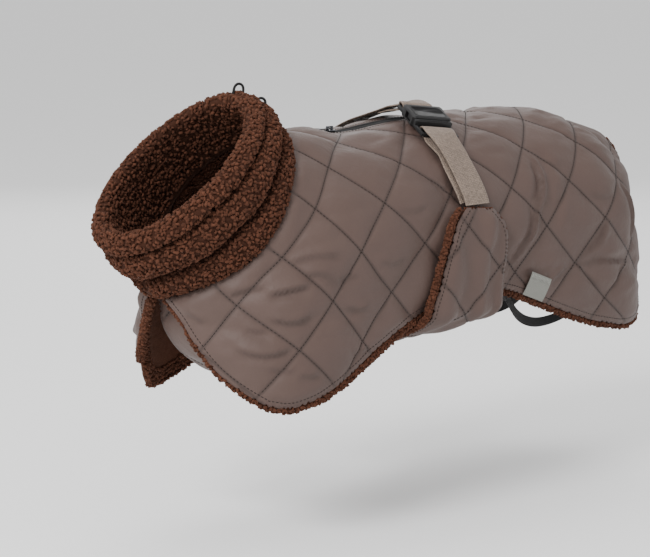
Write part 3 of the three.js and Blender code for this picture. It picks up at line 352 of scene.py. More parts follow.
# %% Material helpers
class Finish:
    """A material under construction."""

    def __init__(self, name, roughness, **sockets):
        self.material = bpy.data.materials.new(name)
        self.material.use_nodes = True
        self.nodes = self.material.node_tree.nodes
        self.links = self.material.node_tree.links
        self.shader = self.nodes["Principled BSDF"]
        self.shader.inputs["Roughness"].default_value = roughness
        for socket, value in sockets.items():
            self.shader.inputs[socket.replace("_", " ")].default_value = value
        self.place = self.nodes.new("ShaderNodeTexCoord").outputs["Object"]
        self.normal = None

    def add(self, kind, inputs=None, **settings):
        """A node with its settings, and values or links for its inputs."""
        node = self.nodes.new(kind)
        for key, value in settings.items():
            setattr(node, key, value)
        for key, value in (inputs or {}).items():
            if isinstance(value, bpy.types.NodeSocket):
                self.links.new(value, node.inputs[key])
            else:
                node.inputs[key].default_value = value
        return node

    def noise(self, size, detail=2.0):
        """Noise whose grains measure about size, in metres."""
        inputs = {"Vector": self.place, "Scale": 1 / size, "Detail": detail}
        return self.add("ShaderNodeTexNoise", inputs).outputs["Fac"]

    def math(self, operation, a, b=0.0):
        """One sum or product of two values."""
        return self.add("ShaderNodeMath", {0: a, 1: b}, operation=operation).outputs[0]

    def ridges(self, period, direction, place):
        """Threads side by side: a sine across them, one for each period in metres."""
        node = self.add("ShaderNodeTexWave", {"Vector": place, "Scale": math.pi / 10 / period},
                        bands_direction=direction)
        return node.outputs["Fac"]

    def uv(self):
        """The piece's own cloth coordinates."""
        return self.add("ShaderNodeUVMap", uv_map="cloth").outputs["UV"]

    def bump(self, height, distance, strength=1.0):
        """Raises the surface by a height from 0 to 1 times distance, on top of earlier bumps."""
        inputs = {"Height": height, "Distance": distance, "Strength": strength}
        if self.normal:
            inputs["Normal"] = self.normal
        self.normal = self.add("ShaderNodeBump", inputs).outputs["Normal"]
        self.links.new(self.normal, self.shader.inputs["Normal"])

    def colour(self, amount, dark, light):
        """Runs from dark to light as amount goes from 0 to 1."""
        node = self.add("ShaderNodeMix", data_type="RGBA")
        self.links.new(amount, node.inputs[0])
        node.inputs[6].default_value = (*dark, 1)
        node.inputs[7].default_value = (*light, 1)
        self.links.new(node.outputs[2], self.shader.inputs["Base Color"])


def spread(colour, low, high):
    """Two shades of one colour: its values times low, and times high."""
    return [value * low for value in colour], [value * high for value in colour]


NYLON = (0.074, 0.047, 0.039)
FLEECE = (0.046, 0.0175, 0.01)
WEBBING = (0.19, 0.143, 0.112)
BLACK = (0.005, 0.0047, 0.005)
print("colours chosen, from dark nylon to webbing")

# %% [markdown]
# Nylon is a smooth, tight weave with a soft sheen. Its colour hardly changes, but fine wrinkles catch the
# light, so they are bump at two scales. Teddy fleece is the opposite: curls as coarse as rice grains, with
# painted shade that darkens the hollows and leaves the tips lighter. Its curls are real shapes where the
# eye comes near, and the material adds the hairs and the pile behind them.

# %% Nylon and fleece
WEAVE_STEP, CURL_CELL, HAIR_STEP = 0.00045, 0.0042, 0.0011


def nylon_finish():
    """Two scales of noise wrinkle the cloth, and crossed threads 0.45 mm apart weave it."""
    finish = Finish("nylon", 0.55, Sheen_Weight=0.04, Sheen_Roughness=0.4, Specular_IOR_Level=0.28)
    uv = finish.uv()
    # The shade attribute holds painted shade along quilting lines and tucks; the noise patches are the
    # nylon's own uneven tone.
    shade = finish.add("ShaderNodeAttribute", attribute_name="shade").outputs["Fac"]
    patches = finish.math("ADD", finish.math("MULTIPLY", finish.noise(0.03, 4), 0.2), 0.8)
    tone = finish.math("MULTIPLY", shade, patches)
    finish.colour(tone, *spread(NYLON, 0.04, 1.12))
    finish.bump(finish.noise(0.012, 3), 0.0009, 0.7)
    finish.bump(finish.noise(0.0035, 2), 0.00025, 0.6)
    weave = finish.math("MULTIPLY", finish.ridges(WEAVE_STEP, "X", uv),
                        finish.ridges(WEAVE_STEP, "Y", uv))
    finish.bump(weave, 0.00004, 0.5)
    return finish.material


def fleece_finish():
    """Lumps as far apart as curls raise the pile, hairs roughen it, and painted shade darkens the hollows.
    """
    finish = Finish("fleece", 0.95, Sheen_Weight=0.06, Sheen_Roughness=0.6, Specular_IOR_Level=0.1)
    finish.shader.inputs["Sheen Tint"].default_value = (0.75, 0.42, 0.3, 1)
    # The shade attribute holds painted shade for the hollows and curl roots; the hair noise is the
    # fleece's own uneven tone.
    shade = finish.add("ShaderNodeAttribute", attribute_name="shade").outputs["Fac"]
    curls = finish.add("ShaderNodeTexVoronoi", {"Vector": finish.place, "Scale": 1 / CURL_CELL},
                       feature="SMOOTH_F1").outputs["Distance"]
    hair = finish.noise(HAIR_STEP, 3)
    tone = finish.math("MULTIPLY", shade, finish.math("ADD", finish.math("MULTIPLY", hair, 0.7), 0.25))
    finish.colour(tone, *spread(FLEECE, 0.4, 1.9))
    finish.bump(finish.math("SUBTRACT", 1.0, curls), 0.0012, 0.7)
    finish.bump(hair, 0.0007, 0.8)
    return finish.material


nylon, fleece = nylon_finish(), fleece_finish()
print("cloth materials:", nylon.name, fleece.name)

# %% [markdown]
# Narrow woven bands differ only in colour, gloss and the spacing of their threads, so one
# function makes the elastic, the zip tape, the label's satin, the thread and the braided cord.
# The strap's webbing shows its blocks of weave from a step away and has its own.

# %% Webbing, elastic, label and thread
def webbing_finish():
    """Ribs across the band, 1.5 mm apart, crossed by the warp threads that make small blocks."""
    finish = Finish("webbing", 0.62, Sheen_Weight=0.08, Sheen_Roughness=0.4, Specular_IOR_Level=0.25)
    uv = finish.uv()
    blocks = finish.math("MULTIPLY", finish.ridges(0.0015, "Y", uv), finish.ridges(0.0021, "X", uv))
    grain = finish.add("ShaderNodeTexVoronoi", {"Vector": finish.place, "Scale": 1 / 0.0013})
    speck = finish.math("MULTIPLY", grain.outputs["Color"], 0.55)
    tone = finish.math("ADD", finish.math("MULTIPLY", blocks, 0.5), speck)
    finish.colour(tone, *spread(WEBBING, 0.5, 1.55))
    finish.bump(blocks, 0.0006, 0.8)
    return finish.material


def banded_finish(name, colour, roughness, period, low=0.6, high=1.7):
    """A narrow woven band: ribs across its length, with finer threads along it."""
    finish = Finish(name, roughness, Sheen_Weight=0.06, Specular_IOR_Level=0.2)
    uv = finish.uv()
    threads = finish.math("MULTIPLY", finish.ridges(period, "Y", uv),
                          finish.ridges(period * 0.6, "X", uv))
    finish.colour(threads, *spread(colour, low, high))
    finish.bump(threads, period * 0.25, 0.7)
    return finish.material


webbing = webbing_finish()
elastic = banded_finish("elastic", BLACK, 0.85, 0.0012)
tape = banded_finish("zip_tape", BLACK, 0.8, 0.0009)
satin = banded_finish("label_satin", (0.2, 0.2, 0.178), 0.42, 0.00055, 0.85, 1.12)
thread = banded_finish("thread", (0.017, 0.0095, 0.007), 0.7, 0.0005, 0.85, 1.1)
pale_thread = banded_finish("pale_thread", (0.34, 0.34, 0.31), 0.5, 0.0005, 0.85, 1.1)
braid = banded_finish("braided_cord", BLACK, 0.6, 0.0011)
print("woven materials ready")

# %% [markdown]
# Buckle, glides and zip teeth are injection moulded. The slider and its pull are die cast and
# lacquered. A flat colour would look like neither, so both finishes get a fine grain in the bump
# and a colour that changes a little from place to place. The plastic's polish changes as well,
# because handling wears it.

# %% Moulded plastic and lacquered metal
def moulded_finish():
    """Half-gloss plastic: a fine spark-eroded grain in the bump, and uneven handling marks."""
    finish = Finish("moulded_plastic", 0.5, Specular_IOR_Level=0.35)
    finish.colour(finish.noise(0.006, 2), *spread(BLACK, 0.85, 1.5))
    finish.bump(finish.noise(0.0004, 2), 0.00005, 0.5)
    wear = finish.math("ADD", finish.math("MULTIPLY", finish.noise(0.005, 3), 0.2), 0.42)
    finish.links.new(wear, finish.shader.inputs["Roughness"])
    return finish.material


def metal_finish():
    """Gunmetal lacquer over a die-cast piece: metallic, with a colour and a skin slightly uneven."""
    finish = Finish("gunmetal", 0.32, Metallic=0.85)
    finish.colour(finish.noise(0.002, 2), (0.05, 0.052, 0.058), (0.085, 0.087, 0.095))
    finish.bump(finish.noise(0.0012, 2), 0.00008, 0.4)
    return finish.material


plastic, metal = moulded_finish(), metal_finish()
print("hard materials ready")

# %% [markdown]
# The panels are cut flat before they are worn. An outline is a closed line in cloth coordinates,
# through the few points that its shape needs. The far front edge is turned out into a roll of
# fleece, so the shell is set back there, and the lining stands out past the shell along the hem.

# %% Outlines of the back panel
NECK_SEAM = [(-206, 0), (-213, 35), (-227, 68), (-241, 90), (-264, 125), (-290, 152), (-323, 170),
             (-354, 180), (-376, 186)]
FRONT_EDGE = [(-376, 186), (-357, 201), (-342, 221), (-320, 247), (-300, 262), (-284, 272)]
HEM = [(-284, 272), (-266, 275), (-245, 271), (-220, 262), (-168, 233), (-115, 210), (-60, 200),
       (-19, 202), (39, 221), (114, 249), (150, 257), (180, 253), (204, 236)]
REAR_EDGE = [(204, 236), (221, 200), (227, 150), (226, 100), (221, 45), (203, 0)]
ROLL_WIDTH, ROLL_FADE = 13, 0.7
RIM_SHOWS, RIM_MORE, RIM_MORE_UNTIL = 3, 4.5, 0.45
ZIP_FRONT, ZIP_REAR, SLIT_HALF, SLIT_ROUND = -142, -26, 7.5, 0.35
OUTLINE_STEP = 4


def even_rows(rows, step=OUTLINE_STEP):
    """Points along a smooth line through the rows, about a step apart."""
    return smooth_line(rows, max(2, round(lengths_along(np.asarray(rows, float))[-1] / step) + 1))


def leftwards(points):
    """The unit vector square to a flat line at each point, on the left of the way it runs."""
    direction = unit(np.gradient(points, axis=0))
    return np.stack([-direction[:, 1], direction[:, 0]], axis=1)


def widened(points, amount):
    """Moves a line sideways by amount, which may be a function of the share along it."""
    by = amount(np.linspace(0, 1, len(points))) if callable(amount) else np.full(len(points), amount)
    return points + leftwards(points) * by[:, None]


def turned_out(share):
    """The roll's width, eased away over the last part of the edge, towards the lobe's tip."""
    return -ROLL_WIDTH * (1 - ease(share, ROLL_FADE, 1))


def hem_rim(share):
    """The fleece shows 3 mm past the hem, and up to 7.5 mm in front of the flap."""
    return RIM_SHOWS + RIM_MORE * np.sin(math.pi * np.minimum(share / RIM_MORE_UNTIL, 1)) ** 2


def half_outline(front_by, hem_by, rear_by):
    """Neck seam, front edge, hem and rear edge of one half, each moved sideways."""
    neck, front = even_rows(NECK_SEAM), widened(even_rows(FRONT_EDGE), front_by)
    if front_by is turned_out:
        seam = np.interp(-front[:, 0], -neck[:, 0], neck[:, 1])
        front = front[front[:, 1] > seam + 1]
        neck = neck[neck[:, 0] > front[0, 0] + 1]
    hem, rear = widened(even_rows(HEM), hem_by), widened(even_rows(REAR_EDGE), rear_by)
    rear[-1, 1] = 0
    return neck, front, hem[1:], rear[1:]


def back_outline(near_sizes, far_sizes):
    """The whole outline: the wearer's left half, then the right half back to the neck."""
    near = np.concatenate(half_outline(*near_sizes)) * [1, -1]
    far = np.concatenate(half_outline(*far_sizes))
    return np.concatenate([near, far[1:-1][::-1]])


def slit_outline(half, front, rear, count=40):
    """A lens along the spine: half its width times a sine, to a power that makes its ends blunt."""
    share = np.linspace(0, 1, count)
    wide = half * np.abs(np.sin(math.pi * share)) ** SLIT_ROUND
    along = front + (rear - front) * share
    return np.concatenate([np.stack([along, -wide], 1), np.stack([along, wide], 1)[::-1][1:-1]])


# How far front edge, hem and rear edge are moved out, for the near half and for the far half.
SHELL_CUT = ((0, 0, 0), (turned_out, 0, 0))
LINING_CUT = ((2.5, hem_rim, 3), (turned_out, hem_rim, 3))
shell_outline, lining_outline = back_outline(*SHELL_CUT), back_outline(*LINING_CUT)
slit = slit_outline(SLIT_HALF, ZIP_FRONT, ZIP_REAR)


def area_of(outline):
    """Half the sum of the cross products of neighbouring points."""
    x, y = outline.T
    return abs(np.sum(x * np.roll(y, -1) - np.roll(x, -1) * y)) / 2


print("back panel, flat, in square metres:", round(area_of(shell_outline) * 1e-6, 4))

# %% [markdown]
# A panel's mesh is a flat grid, cut to its outline. Boolean cuts leave long thin faces, so the
# grid is kept whole instead: cells outside are dropped, and the points nearest the line slide onto
# it. The grid runs along the quilting lines, so each line is a line of edges and stays crisp. Over
# the chest the lines are drawn together, as gathers at the neck seam draw them on the real coat.

# %% Cut a grid to an outline
DIAMOND_LENGTH, DIAMOND_GIRTH = 79.2, 75.6
DIAMOND_SIDE = math.hypot(DIAMOND_LENGTH, DIAMOND_GIRTH) / 2
# Where a crossing of the pattern lies, and how far gathers move the lines.
BACK_PATTERN, BELLY_PATTERN = (-119, 12), (10, 0)
GATHER_TOP, GATHER_LOW, GATHER_GIRTHS, GATHER_ROUNDS = (170, 240), (130, 220), (170, 270), 14
LINE_WOBBLE, WOBBLE_SIZE = 1.3, 32
SHELL_CELLS, LINING_CELLS, BELLY_CELLS = 22, 15, 20  # for each diamond
CHUNK = 6000  # points measured at once, which keeps the arrays small
TINY = 1e-9  # keeps a division defined where an edge has no length or no rise


def drawn(along, girth, gather):
    """How far a quilting line lies towards the tail of its even place: most over the chest, where
    the neck seam draws the panel up, still more low down, and with a slight wobble everywhere."""
    low_down = ease(np.abs(girth), *GATHER_GIRTHS)
    front = ease(-along, *GATHER_TOP) + ease(-along, *GATHER_LOW) * low_down
    wobble = noise(along / WOBBLE_SIZE + 50, girth / WOBBLE_SIZE + 50, 7)
    return gather * front + LINE_WOBBLE * wobble


def diamonds(along, girth, pattern):
    """Diamond coordinates: whole numbers lie on the quilting lines."""
    phase, gather = pattern
    p = (along - drawn(along, girth, gather) - phase) / DIAMOND_LENGTH + girth / DIAMOND_GIRTH
    return p, p - 2 * girth / DIAMOND_GIRTH


def from_diamonds(p, q, pattern):
    """The cloth coordinates of diamond coordinates, found in a few rounds because of the gathers."""
    phase, gather = pattern
    even, girth = phase + DIAMOND_LENGTH * (p + q) / 2, DIAMOND_GIRTH * (p - q) / 2
    along = even
    for _ in range(GATHER_ROUNDS):
        along = even + drawn(along, girth, gather)
    return np.stack([along, girth], axis=1)


def nearest_on(outline, points):
    """Distance to a closed line and the nearest point on it, and whether each point is inside."""
    a, b = outline, np.roll(outline, -1, axis=0)
    edge = b - a
    length = np.maximum((edge**2).sum(1), TINY)
    found, spots, insides = [], [], []
    for part in np.array_split(points, max(1, len(points) // CHUNK)):
        offset = part[:, None, :] - a
        t = np.clip((offset * edge).sum(-1) / length, 0, 1)
        spot = a + t[..., None] * edge
        gap = ((part[:, None, :] - spot) ** 2).sum(-1)
        best = gap.argmin(1)
        rows = np.arange(len(part))
        found.append(np.sqrt(gap[rows, best]))
        spots.append(spot[rows, best])
        crosses = (a[:, 1] > part[:, None, 1]) != (b[:, 1] > part[:, None, 1])
        x = a[:, 0] + edge[:, 0] * offset[..., 1] / np.where(edge[:, 1] == 0, TINY, edge[:, 1])
        insides.append((crosses & (part[:, None, 0] < x)).sum(1) % 2 == 1)
    return np.concatenate(found), np.concatenate(spots), np.concatenate(insides)


def cut_grid(outline, pattern, cells, holes=()):
    """Points and faces of a grid along the quilting lines, inside the outline and off the holes."""
    p, q = diamonds(*outline.T, pattern)
    spans = [np.arange(math.floor(r.min() * cells) - 1, math.ceil(r.max() * cells) + 2) / cells
             for r in (p, q)]
    p, q = (grid.ravel() for grid in np.meshgrid(*spans, indexing="ij"))
    points = from_diamonds(p, q, pattern)
    depth, spot, inside = nearest_on(outline, points)
    depth = np.where(inside, depth, -depth)
    for hole in holes:
        gap, on_hole, within = nearest_on(hole, points)
        gap = np.where(within, -gap, gap)
        spot = np.where((gap < depth)[:, None], on_hole, spot)
        depth = np.minimum(depth, gap)
    cell = DIAMOND_SIDE / cells
    points = np.where((depth < cell / 2)[:, None], spot, points)
    faces = grid_faces(len(spans[0]), len(spans[1]))
    faces = faces[(depth[faces] > -cell / 2).all(1)]
    used, faces = np.unique(faces, return_inverse=True)
    return points[used], faces.reshape(-1, 4)[:, ::-1]


flat_shell, shell_faces = cut_grid(shell_outline, BACK_PATTERN, SHELL_CELLS, holes=[slit])
print("back shell grid:", len(flat_shell), "points", len(shell_faces), "cells")

# %% [markdown]
# Quilting holds shell, wadding and backing together along crossing lines, and between them the
# wadding stands up as a pillow. On a worn coat it is uneven: short puckers pull into the thread,
# the cloth wrinkles across the body, and a few large folds run where it is pressed. All of them
# are heights over the same flat coordinates, added up and faded out towards the hems.

# %% Heights of the quilting
SHELL_THICK, QUILT_HEIGHT = 1.2, 4.6
SEAM_FADE, SLIT_FADE = 11, (2, 20)
PILLOW_POWER, PILLOW_UNEVEN = 0.62, 0.14
FLATTER, FLATTER_GIRTH, FLATTER_ALONG = 0.45, 48, (-50, 40)  # behind the strap, along the spine
FOLD_HELD, RUFFLE_HELD = 0.4, 0.25  # how gently folds and fine relief fade at a quilting line
PUCKER_HEIGHT, PUCKER_REACH, PUCKER_START = 0.75, 6, 1.6
PUCKER_TURN = 0.95  # radians for each millimetre along the line
WRINKLE_FINE, WRINKLE_BROAD = 1.5, 0.9
# The last number here is how wide the painted shade lies along a tuck.
TUCK_STEPS, TUCK_ENDS, TUCK_DROP, TUCK_SHADE_WIDE = 40, 0.25, 1.7, 2.6
# Painted shade: how dark and how wide it lies along a quilting line, and how dark in a tuck's crease.
CREASE_PAINTED_SHADE, CREASE_WIDE, TUCK_PAINTED_SHADE = 0.45, 1.0, 0.22
FOLDS = [  # from and to in cloth coordinates, width, height
    (52, -92, 42, -138, 9, -3.6), (42, -138, 0, -180, 8, -3.4), (66, -96, 58, -146, 9, 2.2),
    (85, -192, 165, -204, 8, -3.0), (85, -205, 160, -217, 8, 2.2), (-8, -190, 40, -196, 6, -2.6),
    (50, 95, 30, 150, 9, -3.4), (80, 200, 160, 208, 8, -3.0), (-250, -205, -205, -200, 7, -2.2),
    (-330, -205, -285, -212, 7, -2.0),
]
SMALL_FOLDS = [
    (38, -100, 30, -134, 4, -1.3), (60, -120, 52, -150, 4, -1.2), (20, -172, -2, -186, 4, -1.2),
    (24, -182, 52, -190, 3.5, -1.3), (-236, -96, -196, -104, 4, -0.9), (-232, -122, -180, -116, 4, -0.9),
    (-268, -150, -216, -138, 4, -1.0), (-190, -150, -150, -158, 4, -0.8), (-150, -92, -104, -100, 4, -0.8),
    (92, -130, 130, -142, 4, -0.9), (150, -110, 176, -140, 4, -0.8), (186, -80, 204, -120, 4, -0.8),
    (64, 110, 44, 140, 4, -1.2), (-230, 104, -190, 112, 4, -0.9), (-250, 150, -206, 142, 4, -0.9),
    (100, 140, 140, 152, 4, -0.9), (-170, 160, -130, 150, 4, -0.8), (20, 180, 60, 190, 4, -1.1),
]
TUCKS = [  # points of a line along which the cloth is tucked under itself, width, height
    ([(46, -78), (42, -91), (36, -117), (25, -137), (14, -159), (-7, -179), (-16, -186)], 8, 3.4),
    ([(126, -148), (118, -160), (111, -171), (97, -179), (80, -190), (70, -196)], 7, 2.6),
    ([(70, -190), (92, -192), (117, -192), (140, -195), (168, -198)], 7, -2.6),
    ([(40, -207), (46, -203), (64, -193), (70, -189)], 5, 2.0),
    ([(0, -192), (10, -193), (30, -193), (48, -190)], 5, -2.0),
    ([(-262, -156), (-240, -152), (-214, -154)], 5, 2.2),
    ([(-252, -166), (-234, -167), (-220, -179)], 4, 2.2),
    ([(-282, -182), (-263, -178), (-243, -174)], 5, 3.4),
    ([(-312, -182), (-296, -177), (-278, -174)], 5, 2.6),
    ([(-282, -200), (-263, -204), (-244, -198)], 5, 2.8),
    ([(-350, -195), (-340, -199), (-330, -205)], 5, 2.2),
    ([(-312, -223), (-287, -230), (-260, -224)], 6, 2.8),
    ([(-300, -207), (-292, -210), (-280, -210)], 4, 2.0),
    ([(-224, -173), (-212, -170), (-198, -172)], 4, 1.8),
    ([(-260, -246), (-249, -249), (-238, -249)], 5, 2.0),
    ([(-285, -239), (-273, -243), (-259, -243)], 4, 1.8),
    ([(-214, -196), (-198, -199), (-184, -196)], 4, 1.6),
    ([(-180, -160), (-160, -164), (-142, -160)], 4, 1.3),
    ([(-150, -120), (-130, -124), (-112, -120)], 4, 1.2),
    ([(-210, -232), (-196, -236), (-180, -232)], 4, 1.5),
    ([(100, -128), (120, -133), (138, -130)], 4, 1.3),
    ([(-100, -96), (-96, -100), (-89, -107), (-80, -107)], 4, 1.8),
    ([(-90, -110), (-83, -114), (-73, -119)], 4, 1.8),
    ([(156, -116), (161, -125), (166, -145), (169, -169), (166, -184)], 7, 2.2),
    ([(44, 82), (40, 96), (32, 120), (22, 142), (8, 162), (-6, 178)], 8, 3.0),
    ([(120, 150), (112, 165), (98, 180), (80, 192)], 7, 2.2),
    ([(80, 196), (110, 193), (140, 197), (166, 199)], 7, -2.2),
    ([(-284, 184), (-264, 178), (-242, 176)], 5, -3.0),
    ([(-262, 156), (-242, 153), (-216, 156)], 5, -2.2),
    ([(-284, 202), (-262, 205), (-246, 199)], 5, -2.4),
    ([(-310, 224), (-288, 231), (-262, 226)], 6, -2.6),
    ([(-226, 176), (-210, 172), (-196, 175)], 4, -1.7),
    ([(-216, 200), (-200, 203), (-186, 199)], 4, -1.6),
    ([(-178, 156), (-160, 161), (-140, 158)], 4, -1.3),
    ([(-262, 248), (-250, 251), (-238, 249)], 5, -1.9),
    ([(150, 112), (160, 130), (164, 156), (160, 176)], 7, 1.9),
]


def tuck_height(along, girth):
    """Across a tuck the cloth rises on one side, drops steeply over the line and fades away. Also the
    painted shade of the crease: a narrow bell curve of the distance to the line."""
    height, dark = np.zeros_like(along), np.zeros_like(along)
    points = np.stack([along, girth], axis=1)
    for rows, width, rise in TUCKS:
        line = smooth_line(rows, TUCK_STEPS)
        gap = np.linalg.norm(points[:, None] - line, axis=-1)
        k = gap.argmin(1)
        ahead = np.gradient(line, axis=0)[k]
        offset = points - line[k]
        side = np.sign(ahead[:, 0] * offset[:, 1] - ahead[:, 1] * offset[:, 0])
        away = gap.min(1)
        share = k / (TUCK_STEPS - 1)
        ends = ease(share, 0, TUCK_ENDS) * ease(1 - share, 0, TUCK_ENDS)
        height += rise * ends * np.tanh(side * away / TUCK_DROP) * np.exp(-((away / width) ** 2))
        dark += abs(rise) / 3 * ends * np.exp(-((away / TUCK_SHADE_WIDE) ** 2))
    return height, np.minimum(dark, 1)


def fold_height(along, girth, folds):
    """Each fold is a bell curve of the distance to its line, times its height."""
    total = np.zeros_like(along)
    for from_along, from_girth, to_along, to_girth, width, height in folds:
        dx, dy = to_along - from_along, to_girth - from_girth
        held = ((along - from_along) * dx + (girth - from_girth) * dy) / (dx * dx + dy * dy)
        held = np.clip(held, 0, 1)
        away = np.hypot(along - from_along - held * dx, girth - from_girth - held * dy)
        total += height * np.exp(-((away / width) ** 2))
    return total


def pillow(p, q):
    """The product of two sines, raised to a power that makes the top full and the line sharp."""
    return np.abs(np.sin(math.pi * p) * np.sin(math.pi * q)) ** PILLOW_POWER


def puckers(p, q, seed):
    """Short waves square to each quilting line, strongest about 2.5 mm from it, that die away with
    the distance: a wave along the line, times a fall and a rise, each exponential."""
    total = 0
    for line, walk, step in ((p, q, 0), (q, p, 9)):
        away = np.abs(line - np.round(line)) * DIAMOND_SIDE
        run = walk * DIAMOND_SIDE
        wave = np.sin(run * PUCKER_TURN + 2.2 * noise(run / 9, np.round(line) * 3.7 + 50, seed + step))
        size = 0.6 + 0.4 * noise(run / 22, np.round(line) * 5.1 + 80, seed + step + 1)
        reach = np.exp(-away / PUCKER_REACH) * (1 - np.exp(-away / PUCKER_START))
        total = total + PUCKER_HEIGHT * size * wave * reach
    return total


def wrinkles(along, girth, seed):
    """Long low waves, much longer along the body than round it."""
    bend = 5 * noise(along / 45 + 20, girth / 40 + 20, seed)
    fine = noise(along / 24 + 40, (girth + bend) / 6.5 + 60, seed + 1)
    broad = noise(along / 34 + 10, (girth + bend) / 15 + 90, seed + 2)
    where = ease(noise(along / 60 + 5, girth / 50 + 5, seed + 3), -0.5, 0.5)
    return WRINKLE_FINE * where * np.sign(fine) * np.abs(fine) ** 1.4 + WRINKLE_BROAD * broad


def shell_height(along, girth):
    """How far the back shell's outside stands above the form."""
    points = np.stack([along, girth], axis=1)
    p, q = diamonds(along, girth, BACK_PATTERN)
    pad = pillow(p, q)
    fade = (ease(nearest_on(shell_outline, points)[0], 0, SEAM_FADE)
            * ease(nearest_on(slit, points)[0], *SLIT_FADE))
    folds = fold_height(along, girth, FOLDS) * pad**FOLD_HELD + fold_height(along, girth, SMALL_FOLDS)
    uneven = 1 + PILLOW_UNEVEN * noise(np.floor(p) * 3.3 + 10, np.floor(q) * 3.3 + 10, 13)
    flatter = 1 - FLATTER * np.exp(-((girth / FLATTER_GIRTH) ** 2)) * ease(along, *FLATTER_ALONG)
    raised = QUILT_HEIGHT * pad * uneven * flatter + folds + tuck_height(along, girth)[0]
    raised += (wrinkles(along, girth, 11) + puckers(p, q, 21)) * pad**RUFFLE_HELD
    return SHELL_THICK + np.maximum(raised, 0) * fade


def painted_crease_shade(along, girth, pattern):
    """Painted shade: 1 on open cloth, and darker within 1.5 mm of a quilting line, where shade falls in
    the crease.
    """
    p, q = diamonds(along, girth, pattern)
    away = np.minimum(np.abs(p - np.round(p)), np.abs(q - np.round(q))) * DIAMOND_SIDE
    return 1 - CREASE_PAINTED_SHADE * np.exp(-((away / CREASE_WIDE) ** 2))


SHELL_WALL = 1.0
shell_lift = shell_height(*flat_shell.T)
print("quilting stands up to", round(float(shell_lift.max()), 1), "mm above the form")

# %% [markdown]
# The back shell is that relief, wrapped round the worn form, with a wall of 1 mm behind it. The
# seam edges close the wall all round, so the mesh is one watertight skin.

# %% The back shell
def worn_slab(flat, faces, place, outer, inner):
    """Both skins of a panel at their heights over the form, closed, with the flat points as UV."""
    points, sets = slab(place(*flat.T, outer), place(*flat.T, inner), faces)
    return points, sets, np.concatenate([flat, flat])


points, sets, uv = worn_slab(flat_shell, shell_faces, on_coat, shell_lift, shell_lift - SHELL_WALL)
# Painted shade on the shell: darker along the quilting lines and in the creases of the tucks.
shade = painted_crease_shade(*flat_shell.T, BACK_PATTERN) * (1 - TUCK_PAINTED_SHADE * tuck_height(*flat_shell.T)[1])
back_shell = make_piece("quilted_back", points, sets, nylon, uv=uv, shade=np.tile(shade, 2))
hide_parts("back_shell")
print("quilted back:", triangle_count["quilted_back"], "triangles")

# %% [markdown]
# The lining is teddy fleece. Its inner side is all lumps, which a jittered grid of round cells
# gives: each point's height falls with the distance to the nearest cell's middle. The belly panel's
# lining is made by the same function, only thinner.

# %% The fleece lining
SEAM_GAP, LINING_THICK, LINING_SUNK = 0.5, 5, 1.6
PILE, LUMP_SIZE, LUMP_TABLE = 1.4, 5.2, 128


def lumps(x, y, size, seed):
    """1 at the middle of each lump and 0 between them: the nearest of nine jittered neighbours."""
    table = np.random.default_rng(seed).uniform(0.15, 0.85, (LUMP_TABLE, LUMP_TABLE, 2))
    u, v = x / size, y / size
    i, j = np.floor(u).astype(int), np.floor(v).astype(int)
    best = np.full(np.shape(x), 9.0)
    for di in (-1, 0, 1):
        for dj in (-1, 0, 1):
            jitter = table[(i + di) % LUMP_TABLE, (j + dj) % LUMP_TABLE]
            gap = np.hypot(u - i - di - jitter[..., 0], v - j - dj - jitter[..., 1])
            best = np.minimum(best, gap)
    return 1 - np.clip(best / 0.75, 0, 1) ** 2


def fleece_lining(name, flat, faces, outline, place, body, thinned, edge, seed):
    """Its body's thickness and the lumps on it, less what it is thinned by within an edge's width."""
    thinner = thinned * (1 - ease(nearest_on(outline, flat)[0], 0, edge))
    depth = body + PILE * lumps(*flat.T, LUMP_SIZE, seed) - thinner
    points, sets, uv = worn_slab(flat, faces, place, np.full(len(depth), -SEAM_GAP), -SEAM_GAP - depth)
    # shade=0.8 paints the lining a little darker, as shade among its lumps and curls.
    return make_piece(name, points, sets, fleece, uv=uv, shade=0.8)


flat_lining, lining_faces = cut_grid(lining_outline, BACK_PATTERN, LINING_CELLS, holes=[slit])
back_lining = fleece_lining("fleece_back", flat_lining, lining_faces, lining_outline, on_coat,
                            LINING_THICK - LINING_SUNK, thinned=1.2, edge=5, seed=3)
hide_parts("back_lining")
print("fleece lining:", triangle_count["fleece_back"], "triangles")

# %% [markdown]
# A curl of teddy fleece is a short, thick loop of yarn. Thousands of them are one joined mesh:
# the same hoop of four rings with four sides, laid out as arrays and turned by random angles from
# a seeded generator. Real hair strands would be far heavier and would not survive the export.

# %% Curls
CURL_TUBES = np.array([0.5, 0.92, 0.92, 0.5])  # each ring's radius, as a share of the hoop's
# Painted shade along each curl, ring by ring: dark at both roots, light over the top.
CURL_ROOT_SHADE = [0.4, 1.2, 1.2, 0.4]  # dark at both roots, light over the top
CURL_RINGS, CURL_SIDES = len(CURL_TUBES), 4
CURL_ARC, CURL_TILT = 1.75, 1.0  # half the hoop's angle and the largest lean, in radians


